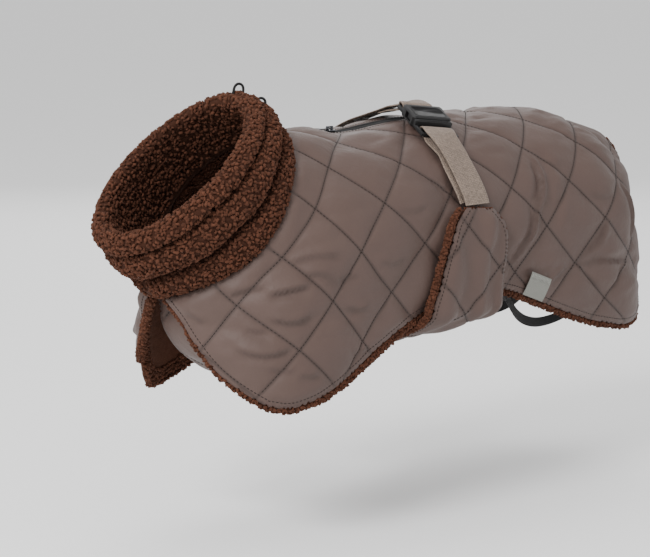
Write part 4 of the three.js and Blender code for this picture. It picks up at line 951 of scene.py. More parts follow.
def curls(name, places, normals, seed, size=1.4, tones=1.0):
    """A hoop over each place: its rings run along an arc that leans over at a random angle."""
    rng = np.random.default_rng(seed)
    count = len(places)
    t = unit(np.cross(normals, rng.normal(size=(count, 3))))
    b = np.cross(normals, t)
    tilt = rng.uniform(-CURL_TILT, CURL_TILT, count)[:, None]
    up = normals * np.cos(tilt) + b * np.sin(tilt)
    side = np.cross(t, up)
    radius = size * rng.uniform(0.75, 1.2, count)[:, None, None]
    angle = np.linspace(-CURL_ARC, CURL_ARC, CURL_RINGS)[None, :, None]
    radial = t[:, None] * np.sin(angle) + up[:, None] * np.cos(angle)
    middle = places[:, None] + radial * radius
    tube = radius * CURL_TUBES[None, :, None]
    turn = np.linspace(0, 2 * math.pi, CURL_SIDES, endpoint=False)
    points = (middle[:, :, None] + tube[..., None, :] * (
        radial[:, :, None] * np.cos(turn)[:, None] + side[:, None, None] * np.sin(turn)[:, None]))
    # Each curl's random tone, times the painted shade it is given and the painted shade at its roots.
    shade = np.repeat(rng.uniform(0.6, 1.4, count) * tones, CURL_RINGS * CURL_SIDES)
    height = np.tile(np.repeat(CURL_ROOT_SHADE, CURL_SIDES), count)
    return make_piece(name, points.reshape(-1, 3), tube_faces(CURL_RINGS, CURL_SIDES, count), fleece,
                      shade=shade * height)


print("one curl has", (CURL_RINGS - 1) * CURL_SIDES * 2 + 2 * (CURL_SIDES - 2), "triangles")

# %% [markdown]
# Along the hem and both ends the fleece shows as a rim of curls under the shell's edge. Each row
# of curls runs along the lining's outline at its own angle round the rim: from under the shell,
# over the edge, and a little way up the inside, where the eye looks in from below. Where the shell
# is set back from the lining's edge, more rows lie on the lining's own outer side. Inside, a band
# of curls behind the neck seam shows where the eye looks in past the collar.

# %% Curls along the back panel's rim
RIM_STEP, RIM_ROUND = 2.8, 1.6
RIM_TURNS = (-1.1, -0.55, 0.0, 0.55, 1.1)  # angles round the rim, in radians
INSIDE_ROWS = (4.5, 8, 11.5)  # distances from the edge, up the inside
OVER_ROWS = (1.6, 3.4, 5.2, 7.0)  # distances from the edge, where the shell is set back
NECK_BAND, NECK_STEP, NECK_INSET, NECK_JITTER = 66, 3.6, 3, 1.2
NECK_ALONG, NECK_GIRTHS, NECK_GIRTH_KEPT = (-372, -128), (-205, 205), 176


def rim_curls(name, line, place, seed, thick):
    """Curls in rows along a line that has the cloth on its right: round the rim by an angle, up
    the inside, and over the lining where no shell covers it."""
    line = smooth_line(line, max(4, round(lengths_along(line)[-1] / RIM_STEP)))
    out = leftwards(line)
    rng = np.random.default_rng(seed)
    places, normals = [], []
    for row, turn in enumerate(RIM_TURNS + INSIDE_ROWS):
        shift = rng.uniform(-1.2, 1.2, (len(line), 2))
        onto_inside = row >= len(RIM_TURNS)
        back = turn if onto_inside else RIM_ROUND - RIM_ROUND * math.cos(turn)
        lift = -SEAM_GAP - (thick if onto_inside else thick / 2 * (1 + math.sin(turn)))
        spot = line - out * back + shift
        along, girth = spot.T
        high = place(along, girth, np.full(len(along), lift + 1.0))
        low = place(along, girth, np.full(len(along), lift))
        edge = unit(place(*(spot + out).T, np.full(len(along), lift)) - low)
        normal = unit(high - low)
        lean = -1.0 if onto_inside else -math.sin(turn)
        places.append(low)
        normals.append(unit(normal * lean + edge * (0.0 if onto_inside else math.cos(turn))))
    for back in OVER_ROWS:
        spot = line - out * back + rng.uniform(-0.8, 0.8, (len(line), 2))
        gap, _, covered = nearest_on(shell_outline, spot)
        spot = spot[~covered & (gap > 0.7)]
        if len(spot):
            low = place(*spot.T, np.full(len(spot), -SEAM_GAP - 0.4))
            places.append(low)
            normals.append(unit(place(*spot.T, np.full(len(spot), 1.0)) - low))
    return curls(name, np.concatenate(places), np.concatenate(normals), seed)


def side_line(sizes, sign):
    """Front edge, hem and rear edge of one side, in the order that keeps the cloth on the right."""
    line = np.concatenate(half_outline(*sizes)[1:])
    return line if sign > 0 else line[::-1] * [1, -1]


def neck_curls():
    """Curls inside the lining, in a band behind the neck seam, on a jittered grid."""
    rng = np.random.default_rng(35)
    along, girth = (grid.ravel() for grid in np.meshgrid(np.arange(*NECK_ALONG, NECK_STEP),
                                                         np.arange(*NECK_GIRTHS, NECK_STEP)))
    along = along + rng.uniform(-NECK_JITTER, NECK_JITTER, along.shape)
    girth = girth + rng.uniform(-NECK_JITTER, NECK_JITTER, girth.shape)
    gap, _, inside = nearest_on(lining_outline, np.stack([along, girth], axis=1))
    seam = np.array(NECK_SEAM, float)
    behind = along - np.interp(np.abs(girth), seam[:, 1], seam[:, 0])
    keep = inside & (gap > NECK_INSET) & (behind < NECK_BAND) & (np.abs(girth) < NECK_GIRTH_KEPT)
    along, girth = along[keep], girth[keep]
    lift = np.full(len(along), -SEAM_GAP - LINING_THICK + 1.2)
    places = on_coat(along, girth, lift)
    return curls("fleece_curls_neck", places, unit(on_coat(along, girth, lift - 1) - places), 36)


inside_curls = neck_curls()
near_curls = rim_curls("fleece_curls_near", side_line(LINING_CUT[0], -1), on_coat, 31, LINING_THICK - 1)
far_curls = rim_curls("fleece_curls_far", side_line(LINING_CUT[1], 1), on_coat, 32, LINING_THICK - 1)
print("rim curls:", sum(triangle_count["fleece_curls_" + side] for side in ("near", "far")), "triangles")

# %% [markdown]
# The belly panel is cut from the same quilting. Its flaps come up over the hem and end under the
# straps, where they are pulled, so soft creases run up them. The lining is thinner fleece.

# %% The belly panel
BELLY_EDGE = [(0, 0), (1, 60), (3, 115), (2, 145), (-1, 166), (4, 189), (16, 200)]
FLAP_TOP = [(16, 200), (49, 203)]
FLAP_FRONT = [(49, 203), (64, 191), (76, 168), (84, 142), (92, 120), (94, 85), (97, 52), (109, 34),
              (134, 24)]
BIB_EDGE = [(134, 24), (172, 20), (230, 21), (290, 24), (329, 22)]
BIB_TOP = [(329, 22), (331, 0)]
FLAP_LINING_THICK, FLAP_LINING_SUNK = 3.4, 1.2
FLAP_QUILT_HEIGHT, FLAP_CREASE, FLAP_PULL, FLAP_WRINKLE = 3, 2.2, 0.8, 0.5
CREASE_RUN, PULL_RUN = 6.2, 3.4  # millimetres along the panel for each radian of a wave

belly_edges = [even_rows(rows) for rows in (BELLY_EDGE, FLAP_TOP, FLAP_FRONT, BIB_EDGE, BIB_TOP)]
belly_half = np.concatenate([belly_edges[0]] + [edge[1:] for edge in belly_edges[1:]])
belly_outline = np.concatenate([belly_half, belly_half[1:-1][::-1] * [1, -1]])


def belly_height(start, across):
    """Pillows, creases that run up the flaps, puckers and wrinkles, faded out at the edges."""
    p, q = diamonds(start, across, BELLY_PATTERN)
    pad = pillow(p, q)
    fade = ease(nearest_on(belly_outline, np.stack([start, across], axis=1))[0], 0, 9)
    bend = 6 * noise(across / 38 + 30, start / 30 + 30, 41)
    up = np.sin((start + bend) / CREASE_RUN + np.abs(across) / 60) * ease(np.abs(across), 40, 90)
    pulled = FLAP_PULL * np.sin((start + bend) / PULL_RUN) * ease(np.abs(across), 140, 195)
    raised = FLAP_QUILT_HEIGHT * pad + FLAP_CREASE * up + pulled + puckers(p, q, 43) * pad**RUFFLE_HELD
    return SHELL_THICK + np.maximum(raised + FLAP_WRINKLE * wrinkles(across, start, 47), 0) * fade


flat_belly, belly_faces = cut_grid(belly_outline, BELLY_PATTERN, BELLY_CELLS)
belly_lift = belly_height(*flat_belly.T)
points, sets, uv = worn_slab(flat_belly, belly_faces, on_belly, belly_lift, belly_lift - SHELL_WALL)
# Painted shade along the belly panel's quilting lines, carried by the shade attribute.
shade = np.tile(painted_crease_shade(*flat_belly.T, BELLY_PATTERN), 2)
belly_shell = make_piece("quilted_belly", points, sets, nylon, uv=uv, shade=shade)
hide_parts("belly_shell")

belly_lining = fleece_lining("fleece_belly", flat_belly, belly_faces, belly_outline, on_belly,
                             FLAP_LINING_THICK - FLAP_LINING_SUNK, thinned=0.9, edge=4, seed=5)
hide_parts("belly_lining")
print("belly panel:", triangle_count["quilted_belly"], "triangles")

# %% [markdown]
# Where an edge is turned out or bound, the fleece makes a soft roll: on the far front edge, and
# along the front edges of both flaps. A roll is an ellipse carried along the edge, covered with
# curls whose places come from the same two parameters, along the roll and round it.

# %% Fleece rolls
ROLL_HALF, FLAP_ROLL_HALF = (5.8, 4.6), (4.0, 3.8)
ROLL_SIDES, ROLL_TAPER, ROLL_END = 20, 0.05, 0.45
ROLL_CORE_INSET, ROLL_CURL_INSET = 1.6, 2.4  # how far core and curls lie under the roll's outside
ROLL_CURL, ROLL_CURL_STEP = 1.35, 3.1
TUFT_STEP, TUFT_SIZE, TUFT_TONE = 2.6, 0.95, 1.3
SIDES = (("near", -1), ("far", 1))  # the near side is the wearer's left


def frames_along(points, ups):
    """Side and up at each point: side is square to the line and to the wanted up."""
    tangent = unit(np.gradient(points, axis=0))
    side = unit(np.cross(tangent, ups))
    return side, unit(np.cross(side, tangent))


def swept(points, ups, section):
    """A closed tube: section holds (across, up) for each point of the line and each corner."""
    side, up = frames_along(points, ups)
    section = np.broadcast_to(section, (len(points), *np.shape(section)[-2:]))
    body = (points[:, None] + side[:, None] * section[..., :1] + up[:, None] * section[..., 1:])
    return body.reshape(-1, 3), tube_faces(len(points), section.shape[1])


def rounded(half_wide, half_high, count, power=1.0):
    """Corners of an ellipse, or of a fuller oblong when power is below 1."""
    angle = np.linspace(0, 2 * math.pi, count, endpoint=False)
    c, s = np.cos(angle), np.sin(angle)
    return np.stack([half_wide * np.sign(c) * np.abs(c) ** power,
                     half_high * np.sign(s) * np.abs(s) ** power], axis=1)


def fleece_roll(name, line, place, lift, half, seed, *nodes):
    """The roll's core, then curls at even steps along and round it."""
    line = smooth_line(line, max(8, round(lengths_along(line)[-1] / RIM_STEP)))
    at = place(*line.T, np.full(len(line), lift))
    ups = unit(place(*line.T, np.full(len(line), lift + 1.0)) - at)
    share = np.linspace(0, 1, len(line))
    full = np.minimum(ease(share, 0, ROLL_TAPER), ease(1 - share, 0, ROLL_TAPER))
    size = ROLL_END + (1 - ROLL_END) * full
    section = rounded(half[0] - ROLL_CORE_INSET, half[1] - ROLL_CORE_INSET, ROLL_SIDES)
    section = section * size[:, None, None]
    points, sets = swept(at, ups, section)
    # The roll's core is painted with shade, 0.6, dark as the hollows under its curls.
    core = make_piece(name, points, sets, fleece, uv=points[:, :2], shade=0.6)
    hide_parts(*nodes)
    side, up = frames_along(at, ups)
    around = max(6, round(math.pi * (half[0] + half[1]) / ROLL_CURL_STEP))
    rng = np.random.default_rng(seed)
    turn = np.arange(around) / around * 2 * math.pi + rng.uniform(-0.25, 0.25, (len(line), around))
    slide = rng.uniform(-0.4, 0.4, (len(line), around))[..., None] * np.gradient(at, axis=0)[:, None]
    normal = side[:, None] * np.cos(turn)[..., None] + up[:, None] * np.sin(turn)[..., None]
    wide, high = half[0] - ROLL_CURL_INSET, half[1] - ROLL_CURL_INSET
    reach = np.hypot(np.cos(turn) * wide, np.sin(turn) * high) * size[:, None]
    places = at[:, None] + slide + normal * reach[..., None]
    return core, curls(name + "_curls", places.reshape(-1, 3), normal.reshape(-1, 3), seed, ROLL_CURL)


front_line = widened(even_rows(FRONT_EDGE), -ROLL_HALF[0] - 0.4)[3:-8]
roll_parts = [fleece_roll("fleece_roll_front_far", front_line, on_coat, 0.6, ROLL_HALF, 51,
                          "lobe_roll_far")]
for side_name, sign in SIDES:
    flap_line = widened(even_rows(FLAP_FRONT), FLAP_ROLL_HALF[0] + 0.5)[2:] * [1, sign]
    roll_parts.append(fleece_roll(f"fleece_roll_flap_{side_name}", flap_line, on_belly, -0.6,
                                  FLAP_ROLL_HALF, 53 + sign, f"flap_roll_{side_name}"))


def edge_tufts(side_name, sign):
    """A thin line of small curls that peeps out under the flap's top and rear edges."""
    line = np.concatenate([even_rows(BELLY_EDGE[3:], TUFT_STEP), even_rows(FLAP_TOP, TUFT_STEP)])
    at = on_belly(line[:, 0], sign * line[:, 1], np.full(len(line), -1.2))
    return curls(f"fleece_tufts_{side_name}", at, unit(at - at.mean(0)), 61 + sign, TUFT_SIZE, TUFT_TONE)


tufts = [edge_tufts(side_name, sign) for side_name, sign in SIDES]
print("rolls made:", len(roll_parts))

# %% [markdown]
# The collar is a wide fleece tube, pushed down into three rolls. Around it runs the neck seam
# below and an oval mouth above, and across it the profile goes up over the rolls, round the
# mouth and down the inside. Real rolls wander, so their creases shift and their heights change
# round the neck, by noise that closes on itself.

# %% The collar
COLLAR_BACK, COLLAR_FRONT = np.array([-243, 0, 37]), np.array([-378, 0, -73])
COLLAR_HALF_WIDTH, COLLAR_HALF_THICK, COLLAR_INSET, CREASE_DEPTH = 64, 4.2, 6, 5.6
# Each roll: from and to as shares of the height, how far it stands out, its crease's width.
COLLAR_ROLLS = [(0, 0.37, 3.6, 0.05), (0.37, 0.79, 7.4, 0.05), (0.79, 1, 5.6, 0.032)]
COLLAR_AROUND, COLLAR_ROWS_OUT, COLLAR_ROWS_IN = 280, 64, 20
COLLAR_WANDER = ((0.035, 61, 2.2), (0.012, 62, 6))  # share of the height, seed, waves
COLLAR_UNEVEN, COLLAR_LUMP, LUMP_WAVES = 0.16, 0.5, 9
FOOT_TURN, MOUTH_FROM, MOUTH_SUNK = 0.16, 0.93, 0.75
MOUTH_RINGS = ((1.025, 2.6), (1.035, 0.0), (1.02, -2.8))  # share of the height, distance out
SEAM_CLEAR, SEAM_DEPTH = 0.45, -2.0

neck_half = smooth_line(widened(even_rows(NECK_SEAM), SEAM_CLEAR), COLLAR_AROUND // 2 + 1)
seam_share = np.linspace(0, 1, len(neck_half))
around_share = np.concatenate([seam_share, seam_share[1:-1][::-1]])
around_side = np.concatenate([-np.ones(len(seam_share)), np.ones(len(seam_share) - 2)])
seam_ring = np.concatenate([neck_half, neck_half[1:-1][::-1]])
seam_ring[:, 1] *= around_side
around_angle = 2 * math.pi * np.arange(len(seam_ring)) / len(seam_ring)

low_ring = on_coat(*seam_ring.T, np.full(len(seam_ring), SEAM_DEPTH))
skin = outward(form, *seam_ring.T)
collar_middle, to_back = (COLLAR_BACK + COLLAR_FRONT) / 2, (COLLAR_BACK - COLLAR_FRONT) / 2
inset = 1 - COLLAR_INSET / np.linalg.norm(to_back)
high_ring = (collar_middle + inset * to_back * np.cos(math.pi * around_share)[:, None]
             + (around_side * np.sin(math.pi * around_share)
                * (COLLAR_HALF_WIDTH - COLLAR_INSET))[:, None] * [0, 1, 0])


def ring_noise(seed, waves=3.0):
    """Noise round the neck that ends where it starts: read along a circle."""
    return noise(waves * np.cos(around_angle) + 20, waves * np.sin(around_angle) + 20, seed)


def collar_at(t, out):
    """A ring of the collar: between its two rings by t, then out along its own normal."""
    t, out = (np.broadcast_to(value, len(low_ring))[:, None] for value in (t, out))
    middle = low_ring + (high_ring - low_ring) * t
    round_way = np.roll(middle, -1, axis=0) - np.roll(middle, 1, axis=0)
    facing = unit(np.cross(high_ring - low_ring, round_way))
    facing *= np.where((facing * skin).sum(1) < 0, -1, 1)[:, None]
    normal = unit(skin + (facing - skin) * ease(t, 0, FOOT_TURN))
    return middle + normal * out


def roll_profile(t):
    """Height over the tube: each roll is a sine to the power 0.7, sunk at the creases."""
    height = np.zeros_like(t)
    for low, high, rise, _ in COLLAR_ROLLS:
        share = np.clip((t - low) / (high - low), 0, 1)
        height += rise * np.sin(math.pi * share) ** 0.7
    crease = sum(np.exp(-(((t - low) / wide) ** 2)) for low, _, _, wide in COLLAR_ROLLS[1:])
    return height - CREASE_DEPTH * crease


def collar_surface():
    """Rings up the outside, over the mouth and down the inside, with wandering rolls. Also the painted
    shade of each point: 1 on the rolls, dark in the creases between them."""
    rings, shades = [], []
    wander = sum(share * ring_noise(seed, waves) for share, seed, waves in COLLAR_WANDER)
    plump = 1 + COLLAR_UNEVEN * ring_noise(63, 2.6)
    plain = np.ones(len(low_ring))
    for t in np.linspace(0, 1, COLLAR_ROWS_OUT):
        profile = roll_profile(t + wander * math.sin(math.pi * t))
        mouth = 1 - MOUTH_SUNK * ease(t, MOUTH_FROM, 1.0)
        lump = COLLAR_LUMP * ring_noise(70 + round(t * 40), LUMP_WAVES)
        rings.append(collar_at(t, COLLAR_HALF_THICK + profile * plump * mouth + lump * mouth))
        shades.append(0.1 + 0.9 * ease(profile, -5, 3.2) if 0.12 < t < MOUTH_FROM else plain)
    rings += [collar_at(t, out) for t, out in MOUTH_RINGS]
    for t in np.linspace(0.985, 0, COLLAR_ROWS_IN):
        rings.append(collar_at(t, -COLLAR_HALF_THICK + 0.7 * ring_noise(90 + round(t * 30), LUMP_WAVES)))
    shades += [plain] * (len(rings) - len(shades))
    return np.stack(rings), np.stack(shades)


collar_rings, collar_painted_shade = collar_surface()
faces = grid_faces(len(collar_rings), collar_rings.shape[1], round_rows=True, round_columns=True)
walk = np.broadcast_to(np.arange(len(collar_rings))[:, None] * 2.0, collar_rings.shape[:2])
uv = np.stack([np.broadcast_to(np.arange(collar_rings.shape[1]) * 1.5, walk.shape), walk], axis=-1)
# The collar's own surface is its painted shade times 0.35, dark as the hollows under its curls.
collar = make_piece("fleece_collar", collar_rings.reshape(-1, 3), [faces], fleece,
                    uv=uv.reshape(-1, 2), shade=0.35 * collar_painted_shade.ravel())
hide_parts("collar")
print("collar:", triangle_count["fleece_collar"], "triangles")

# %% [markdown]
# The collar's curls are spread evenly over its outside, its mouth and its inside. The rings lie
# closer at the back of the neck than in front, so rows are chosen at even distances on each line
# across the collar, not at even numbers of rings.

# %% Curls on the collar
COLLAR_CURL, COLLAR_CURL_STEP, MOUTH_CURL_STEP = 1.45, 3.1, 3.3


def spread_on_rings(rings, seed, spacing, first, last):
    """Jittered places about a spacing apart, on the strip of rings from first to last."""
    rng = np.random.default_rng(seed)
    strip = rings[first:last]
    across = np.linalg.norm(np.diff(strip, axis=0), axis=-1)
    walked = np.concatenate([np.zeros((1, strip.shape[1])), np.cumsum(across, axis=0)])
    half_way = strip[len(strip) // 2]
    perimeter = np.linalg.norm(np.roll(half_way, -1, axis=0) - half_way, axis=1)
    columns = np.interp(np.arange(0, perimeter.sum(), spacing), np.cumsum(perimeter),
                        np.arange(strip.shape[1])).round().astype(int)
    places, normals, tones = [], [], []
    for column in columns:
        jittered = (column + rng.integers(-1, 2, 200)) % strip.shape[1]
        distance = np.arange(rng.uniform(0, spacing), walked[-1, column], spacing)
        distance = distance + rng.uniform(-0.3, 0.3, len(distance)) * spacing
        row = np.interp(distance, walked[:, column], np.arange(len(strip)))
        k = np.clip(row.astype(int), 1, len(strip) - 2)
        here = jittered[: len(k)]
        up = strip[k + 1, here] - strip[k - 1, here]
        beside = strip[k, (here + 2) % strip.shape[1]] - strip[k, here - 2]
        places.append(strip[k, here])
        normals.append(unit(np.cross(beside, up)))
        tones.append(collar_painted_shade[first:last][k, here])
    return np.concatenate(places), np.concatenate(normals), np.concatenate(tones)


# Curls on the collar take its painted shade: darker in the creases between the rolls.
outer_places, outer_normals, outer_painted_shade = spread_on_rings(
    collar_rings, 81, COLLAR_CURL_STEP, 0, COLLAR_ROWS_OUT + 1)
outwards = np.sign(((outer_places - collar_middle) * outer_normals).sum())
collar_curls = curls("fleece_collar_curls", outer_places, outer_normals * outwards, 82, COLLAR_CURL,
                     outer_painted_shade)
inner_places, inner_normals, inner_painted_shade = spread_on_rings(
    collar_rings, 83, MOUTH_CURL_STEP, COLLAR_ROWS_OUT - 1, len(collar_rings) - 1)
mouth_curls = curls("fleece_mouth_curls", inner_places, inner_normals * outwards, 84, COLLAR_CURL,
                    inner_painted_shade)
print("collar curls:", len(outer_places), "outside and", len(inner_places), "inside")

# %% [markdown]
# The strap is 30 mm webbing in two stretches. Each runs flat over the quilting, turns round a bar
# of the buckle and comes back. Its route is a short table in cloth coordinates and a half circle
# round the bar, in the buckle's own frame, which is tilted a little as it sits on the coat.

# %% The buckle's frame and the strap's routes
BUCKLE_ALONG, BUCKLE_GIRTH, BUCKLE_LIFT, BUCKLE_TILT = -56, -42, 12.2, math.radians(-20)
# Measured in the buckle's frame: its far end and bar, then its near end, ladder bar and gap.
BUCKLE_END, BAR, BAR_LIFT = 30.5, 2.6, -2
LADDER_END, LADDER_BAR, LADDER_GAP = -24.5, 3.2, 5
WEBBING_HALF, WEBBING_CORNERS, WEBBING_STEP = (15, 0.75), 28, 1.6
WRAP_RADIUS, WRAP_DEGREES = 3, 30
NEAR_STRAP = [(-59, -125.6, 11.1), (-59, -119, 10.7), (-59.5, -110, 10), (-60.5, -100, 9.9),
              (-62, -91, 10.9), (-64, -81, 13.2)]
NEAR_TAIL = [(-66, -81, 10), (-66, -91, 8), (-64.8, -101, 7.1), (-63, -112, 7.1), (-61.5, -121, 7.1)]
FAR_UNDERLAP = [(-48, 13, 7.3), (-46, 3, 9.3)]
FAR_STRAP = [(-46, 4, 12.8), (-48, 13, 10), (-51.5, 28, 7.6), (-55, 45, 7.4), (-58, 62, 7.4),
             (-59, 79, 7.5), (-59, 95, 8), (-59, 109, 9.6), (-59, 118, 10.7), (-59, 125.6, 11.1)]

buckle_out = outward(form, BUCKLE_ALONG, BUCKLE_GIRTH)
buckle_up = unit(form(BUCKLE_ALONG, BUCKLE_GIRTH + 1) - form(BUCKLE_ALONG, BUCKLE_GIRTH - 1))
buckle_up = unit(buckle_up * math.cos(BUCKLE_TILT)
                 + np.cross(buckle_out, buckle_up) * math.sin(BUCKLE_TILT))
buckle_side = unit(np.cross(buckle_up, buckle_out))
buckle_place = on_coat(BUCKLE_ALONG, BUCKLE_GIRTH, BUCKLE_LIFT)


def on_strap(rows, turned=1):
    """Points and outward sides of a route on the coat. Turned is -1 where the webbing comes back."""
    along, girth, lift = np.array(rows, float).T
    return np.c_[on_coat(along, girth, lift), outward(form, along, girth) * turned]


def in_strap(up, out, turned):
    """The same for one point in the buckle's frame."""
    return np.r_[buckle_place + buckle_up * up + buckle_out * out, buckle_out * turned][None]


def wrap(centre, direction, out_first):
    """A half circle round a bar, in even steps, with its radius as the outward side."""
    degrees = np.arange(0, 181, WRAP_DEGREES)
    angle = np.radians(90 - degrees if out_first else degrees - 90)[:, None]
    radial = buckle_up * direction * np.cos(angle) + buckle_out * np.sin(angle)
    middle = buckle_place + buckle_up * centre + buckle_out * BAR_LIFT
    return np.c_[middle + WRAP_RADIUS * radial, radial]


def strap(name, stations, node):
    """Webbing along the stations: an oblong section, with across and along as its UV."""
    knots = lengths_along(stations[:, :3])
    line = smooth_line(stations[:, :3], round(knots[-1] / WEBBING_STEP))
    walked = lengths_along(line)
    ups = unit(np.stack([np.interp(walked / walked[-1], knots / knots[-1], axis)
                         for axis in stations[:, 3:].T], axis=1))
    section = rounded(*WEBBING_HALF, WEBBING_CORNERS, 0.45)
    points, sets = swept(line, ups, section)
    uv = np.stack([np.tile(section[:, 0], len(line)), np.repeat(walked, len(section))], axis=1)
    piece = make_piece(name, points, sets, webbing, uv=uv)
    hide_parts(node)
    print(name, "is", round(walked[-1]), "mm long")


over, under = BAR_LIFT + WRAP_RADIUS, BAR_LIFT - WRAP_RADIUS
near_route = np.concatenate([
    on_strap(NEAR_STRAP), in_strap(LADDER_END - 0.5, over + 0.1, 1),
    wrap(LADDER_END + LADDER_BAR + LADDER_GAP + BAR / 2, 1, True),
    in_strap(LADDER_END - 0.5, under - 0.2, -1), in_strap(LADDER_END - 6, under - 1.2, -1),
    on_strap(NEAR_TAIL, -1)])
far_route = np.concatenate([
    on_strap(FAR_UNDERLAP, -1), in_strap(BUCKLE_END - BAR / 2 + 4, under - 0.4, -1),
    wrap(BUCKLE_END - BAR / 2, -1, False),
    in_strap(BUCKLE_END - BAR / 2 + 2.5, over, 1), in_strap(BUCKLE_END - BAR / 2 + 8, over - 1.6, 1),
    on_strap(FAR_STRAP)])
strap("webbing_near", near_route, "strap_near")
strap("webbing_far", far_route, "strap_far")

# %% [markdown]
# Buckle, slider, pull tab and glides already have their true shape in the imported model. Moulded
# and cast pieces have no sharp corners, though, so each gets a merged copy with its flat faces
# joined up and a small round bevel along every edge, and the copy stands in for the node.

# %% Rounded copies of the hard pieces
def rounded_copy(node, material, width, body="coat"):
    """The node's mesh, merged, with coplanar faces dissolved and a bevel of two segments."""
    form_mesh = bmesh.new()
    form_mesh.from_mesh(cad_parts[node].data)
    bmesh.ops.remove_doubles(form_mesh, verts=form_mesh.verts, dist=1e-6)
    bmesh.ops.dissolve_limit(form_mesh, angle_limit=math.radians(1), verts=form_mesh.verts,
                             edges=form_mesh.edges)
    mesh = bpy.data.meshes.new(node + "_rounded")
    form_mesh.to_mesh(mesh)
    form_mesh.free()
    mesh.polygons.foreach_set("use_smooth", np.ones(len(mesh.polygons), bool))
    mesh.materials.append(material)
    piece = bpy.data.objects.new(node + "_rounded", mesh)
    bpy.context.scene.collection.objects.link(piece)
    bevel = piece.modifiers.new("bevel", "BEVEL")
    bevel.width = width * MM
    bevel.segments = 2
    bevel.limit_method = "ANGLE"
    bevel.harden_normals = True
    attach(piece, body)
    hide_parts(node)


for node in ("buckle_female", "buckle_male"):
    rounded_copy(node, plastic, 0.5)
for side_name, _ in SIDES:
    rounded_copy(f"leg_glide_{side_name}", plastic, 0.3)
rounded_copy("zip_slider", metal, 0.18)
rounded_copy("zip_pull", metal, 0.16, "pull")
print("hard pieces rounded")

# %% [markdown]
# The female half of a side-release buckle has a smooth plate on top, and a grip of fine ribs
# beside it. A bevelled box would do for the plate, but layers of one rounded outline, drawn in
# towards the top, give its soft rim directly. The ribs follow in the next step.

# %% The buckle's cover
COVER_HALF, COVER_MIDDLE = (15.6, 9.4), 7.6
COVER_LAYERS = ((0.0, 4.1), (0.0, 4.95), (0.15, 5.25), (0.5, 5.45))  # drawn in, height over the frame
COVER_CORNERS, COVER_POWER = 48, 0.3


def buckle_cover():
    """A smooth oblong plate over the female half: layers of one outline, drawn in at the rim."""
    ring = rounded(1, 1, COVER_CORNERS, COVER_POWER)
    rows = []
    for draw, high in COVER_LAYERS:
        flat = ring * (np.array(COVER_HALF) - draw)
        rows.append(buckle_place + buckle_side * flat[:, :1] + buckle_up * (flat[:, 1:] + COVER_MIDDLE)
                    + buckle_out * high)
    sets = tube_faces(len(rows), len(ring))
    make_piece("buckle_cover", np.concatenate(rows), sets, plastic)


buckle_cover()
print("buckle covered")

# %% [markdown]
# Small things that repeat, such as stitches and zip teeth, are one template each, placed many
# times by an array of origins and of axes. The template is a capsule with four sides. The first
# row of them is the grip beside the buckle's cover.

# %% Repeat a small shape
CAPSULE_RINGS = [(-0.5, 0.35, -0.55), (-0.34, 0.95, 0.0), (0.34, 0.95, 0.0), (0.5, 0.35, -0.55)]
CAPSULE_SIDES = 4
RIBS_ALONG, RIBS_HIGH, RIB_STEP, RIB_REACH = -6.1, 3.75, 1.5, 13.5
RIB_LENGTH, RIB_THICK = 3.2, 0.5


def repeat(name, origins, forward, normals, length, thick, material):
    """Capsules along forward: rings of (along, radius, dip), scaled by length and by thickness."""
    side = unit(np.cross(normals, forward))
    up = np.cross(forward, side)
    turn = np.linspace(0, 2 * math.pi, CAPSULE_SIDES, endpoint=False)
    rings = [forward[:, None] * (x * length)
             + side[:, None] * (radius * np.cos(turn) * thick)[:, None]
             + up[:, None] * ((radius * np.sin(turn) + dip) * thick)[:, None]
             for x, radius, dip in CAPSULE_RINGS]
    points = (origins[:, None, None] + np.stack(rings, axis=1)).reshape(-1, 3)
    uv = np.tile(np.array([(k * 0.3, x * length) for x, _, _ in CAPSULE_RINGS
                           for k in range(CAPSULE_SIDES)]), (len(origins), 1))
    return make_piece(name, points, tube_faces(len(rings), CAPSULE_SIDES, len(origins)), material,
                      uv=uv)


rib_side = np.arange(-RIB_REACH, RIB_REACH + 0.1, RIB_STEP)[:, None]
rib_places = buckle_place + buckle_side * rib_side + buckle_up * RIBS_ALONG + buckle_out * RIBS_HIGH
repeat("buckle_ribs", rib_places, np.broadcast_to(buckle_up, rib_places.shape),
       np.broadcast_to(buckle_out, rib_places.shape), RIB_LENGTH, RIB_THICK, plastic)
print("ribs in the grip:", len(rib_places))

# %% [markdown]
# Stitches hold the quilting. Each is a short length of thread that dips into the cloth at both
# ends. They follow every quilting line, and a row runs 5 mm inside the back panel's edges and 4 mm
# inside those of the flaps and round the slit, where the fold of the edge is sewn down.

# %% Stitching
STITCH_PITCH, STITCH_LENGTH, STITCH_THICK = 3.3, 2.3, 0.4
HEM_STITCH, FLAP_STITCH, SLIT_STITCH = 5, 4, 4  # how far a row of stitches lies from its edge
BACK_CLEAR, BELLY_CLEAR = 7, 6  # how near to an edge the quilting is sewn


def quilting_spots(outline, pattern, clear, holes=()):
    """Middles and ends of the stitches on every quilting line that runs inside the outline."""
    corners = np.stack(diamonds(*outline.T, pattern))
    first, last = math.floor(corners.min()), math.ceil(corners.max())
    steps = np.arange(first, last, STITCH_PITCH / DIAMOND_SIDE)
    line, walk = (grid.ravel() for grid in np.meshgrid(np.arange(first, last + 1), steps))
    half = STITCH_LENGTH / DIAMOND_SIDE / 2
    middle = np.concatenate([from_diamonds(line, walk, pattern), from_diamonds(walk, line, pattern)])
    ahead = np.concatenate([from_diamonds(line, walk + half, pattern),
                            from_diamonds(walk + half, line, pattern)])
    depth, _, inside = nearest_on(outline, middle)
    keep = inside & (depth > clear)
    for hole in holes:
        keep &= nearest_on(hole, middle)[0] > clear
    return middle[keep], ahead[keep]


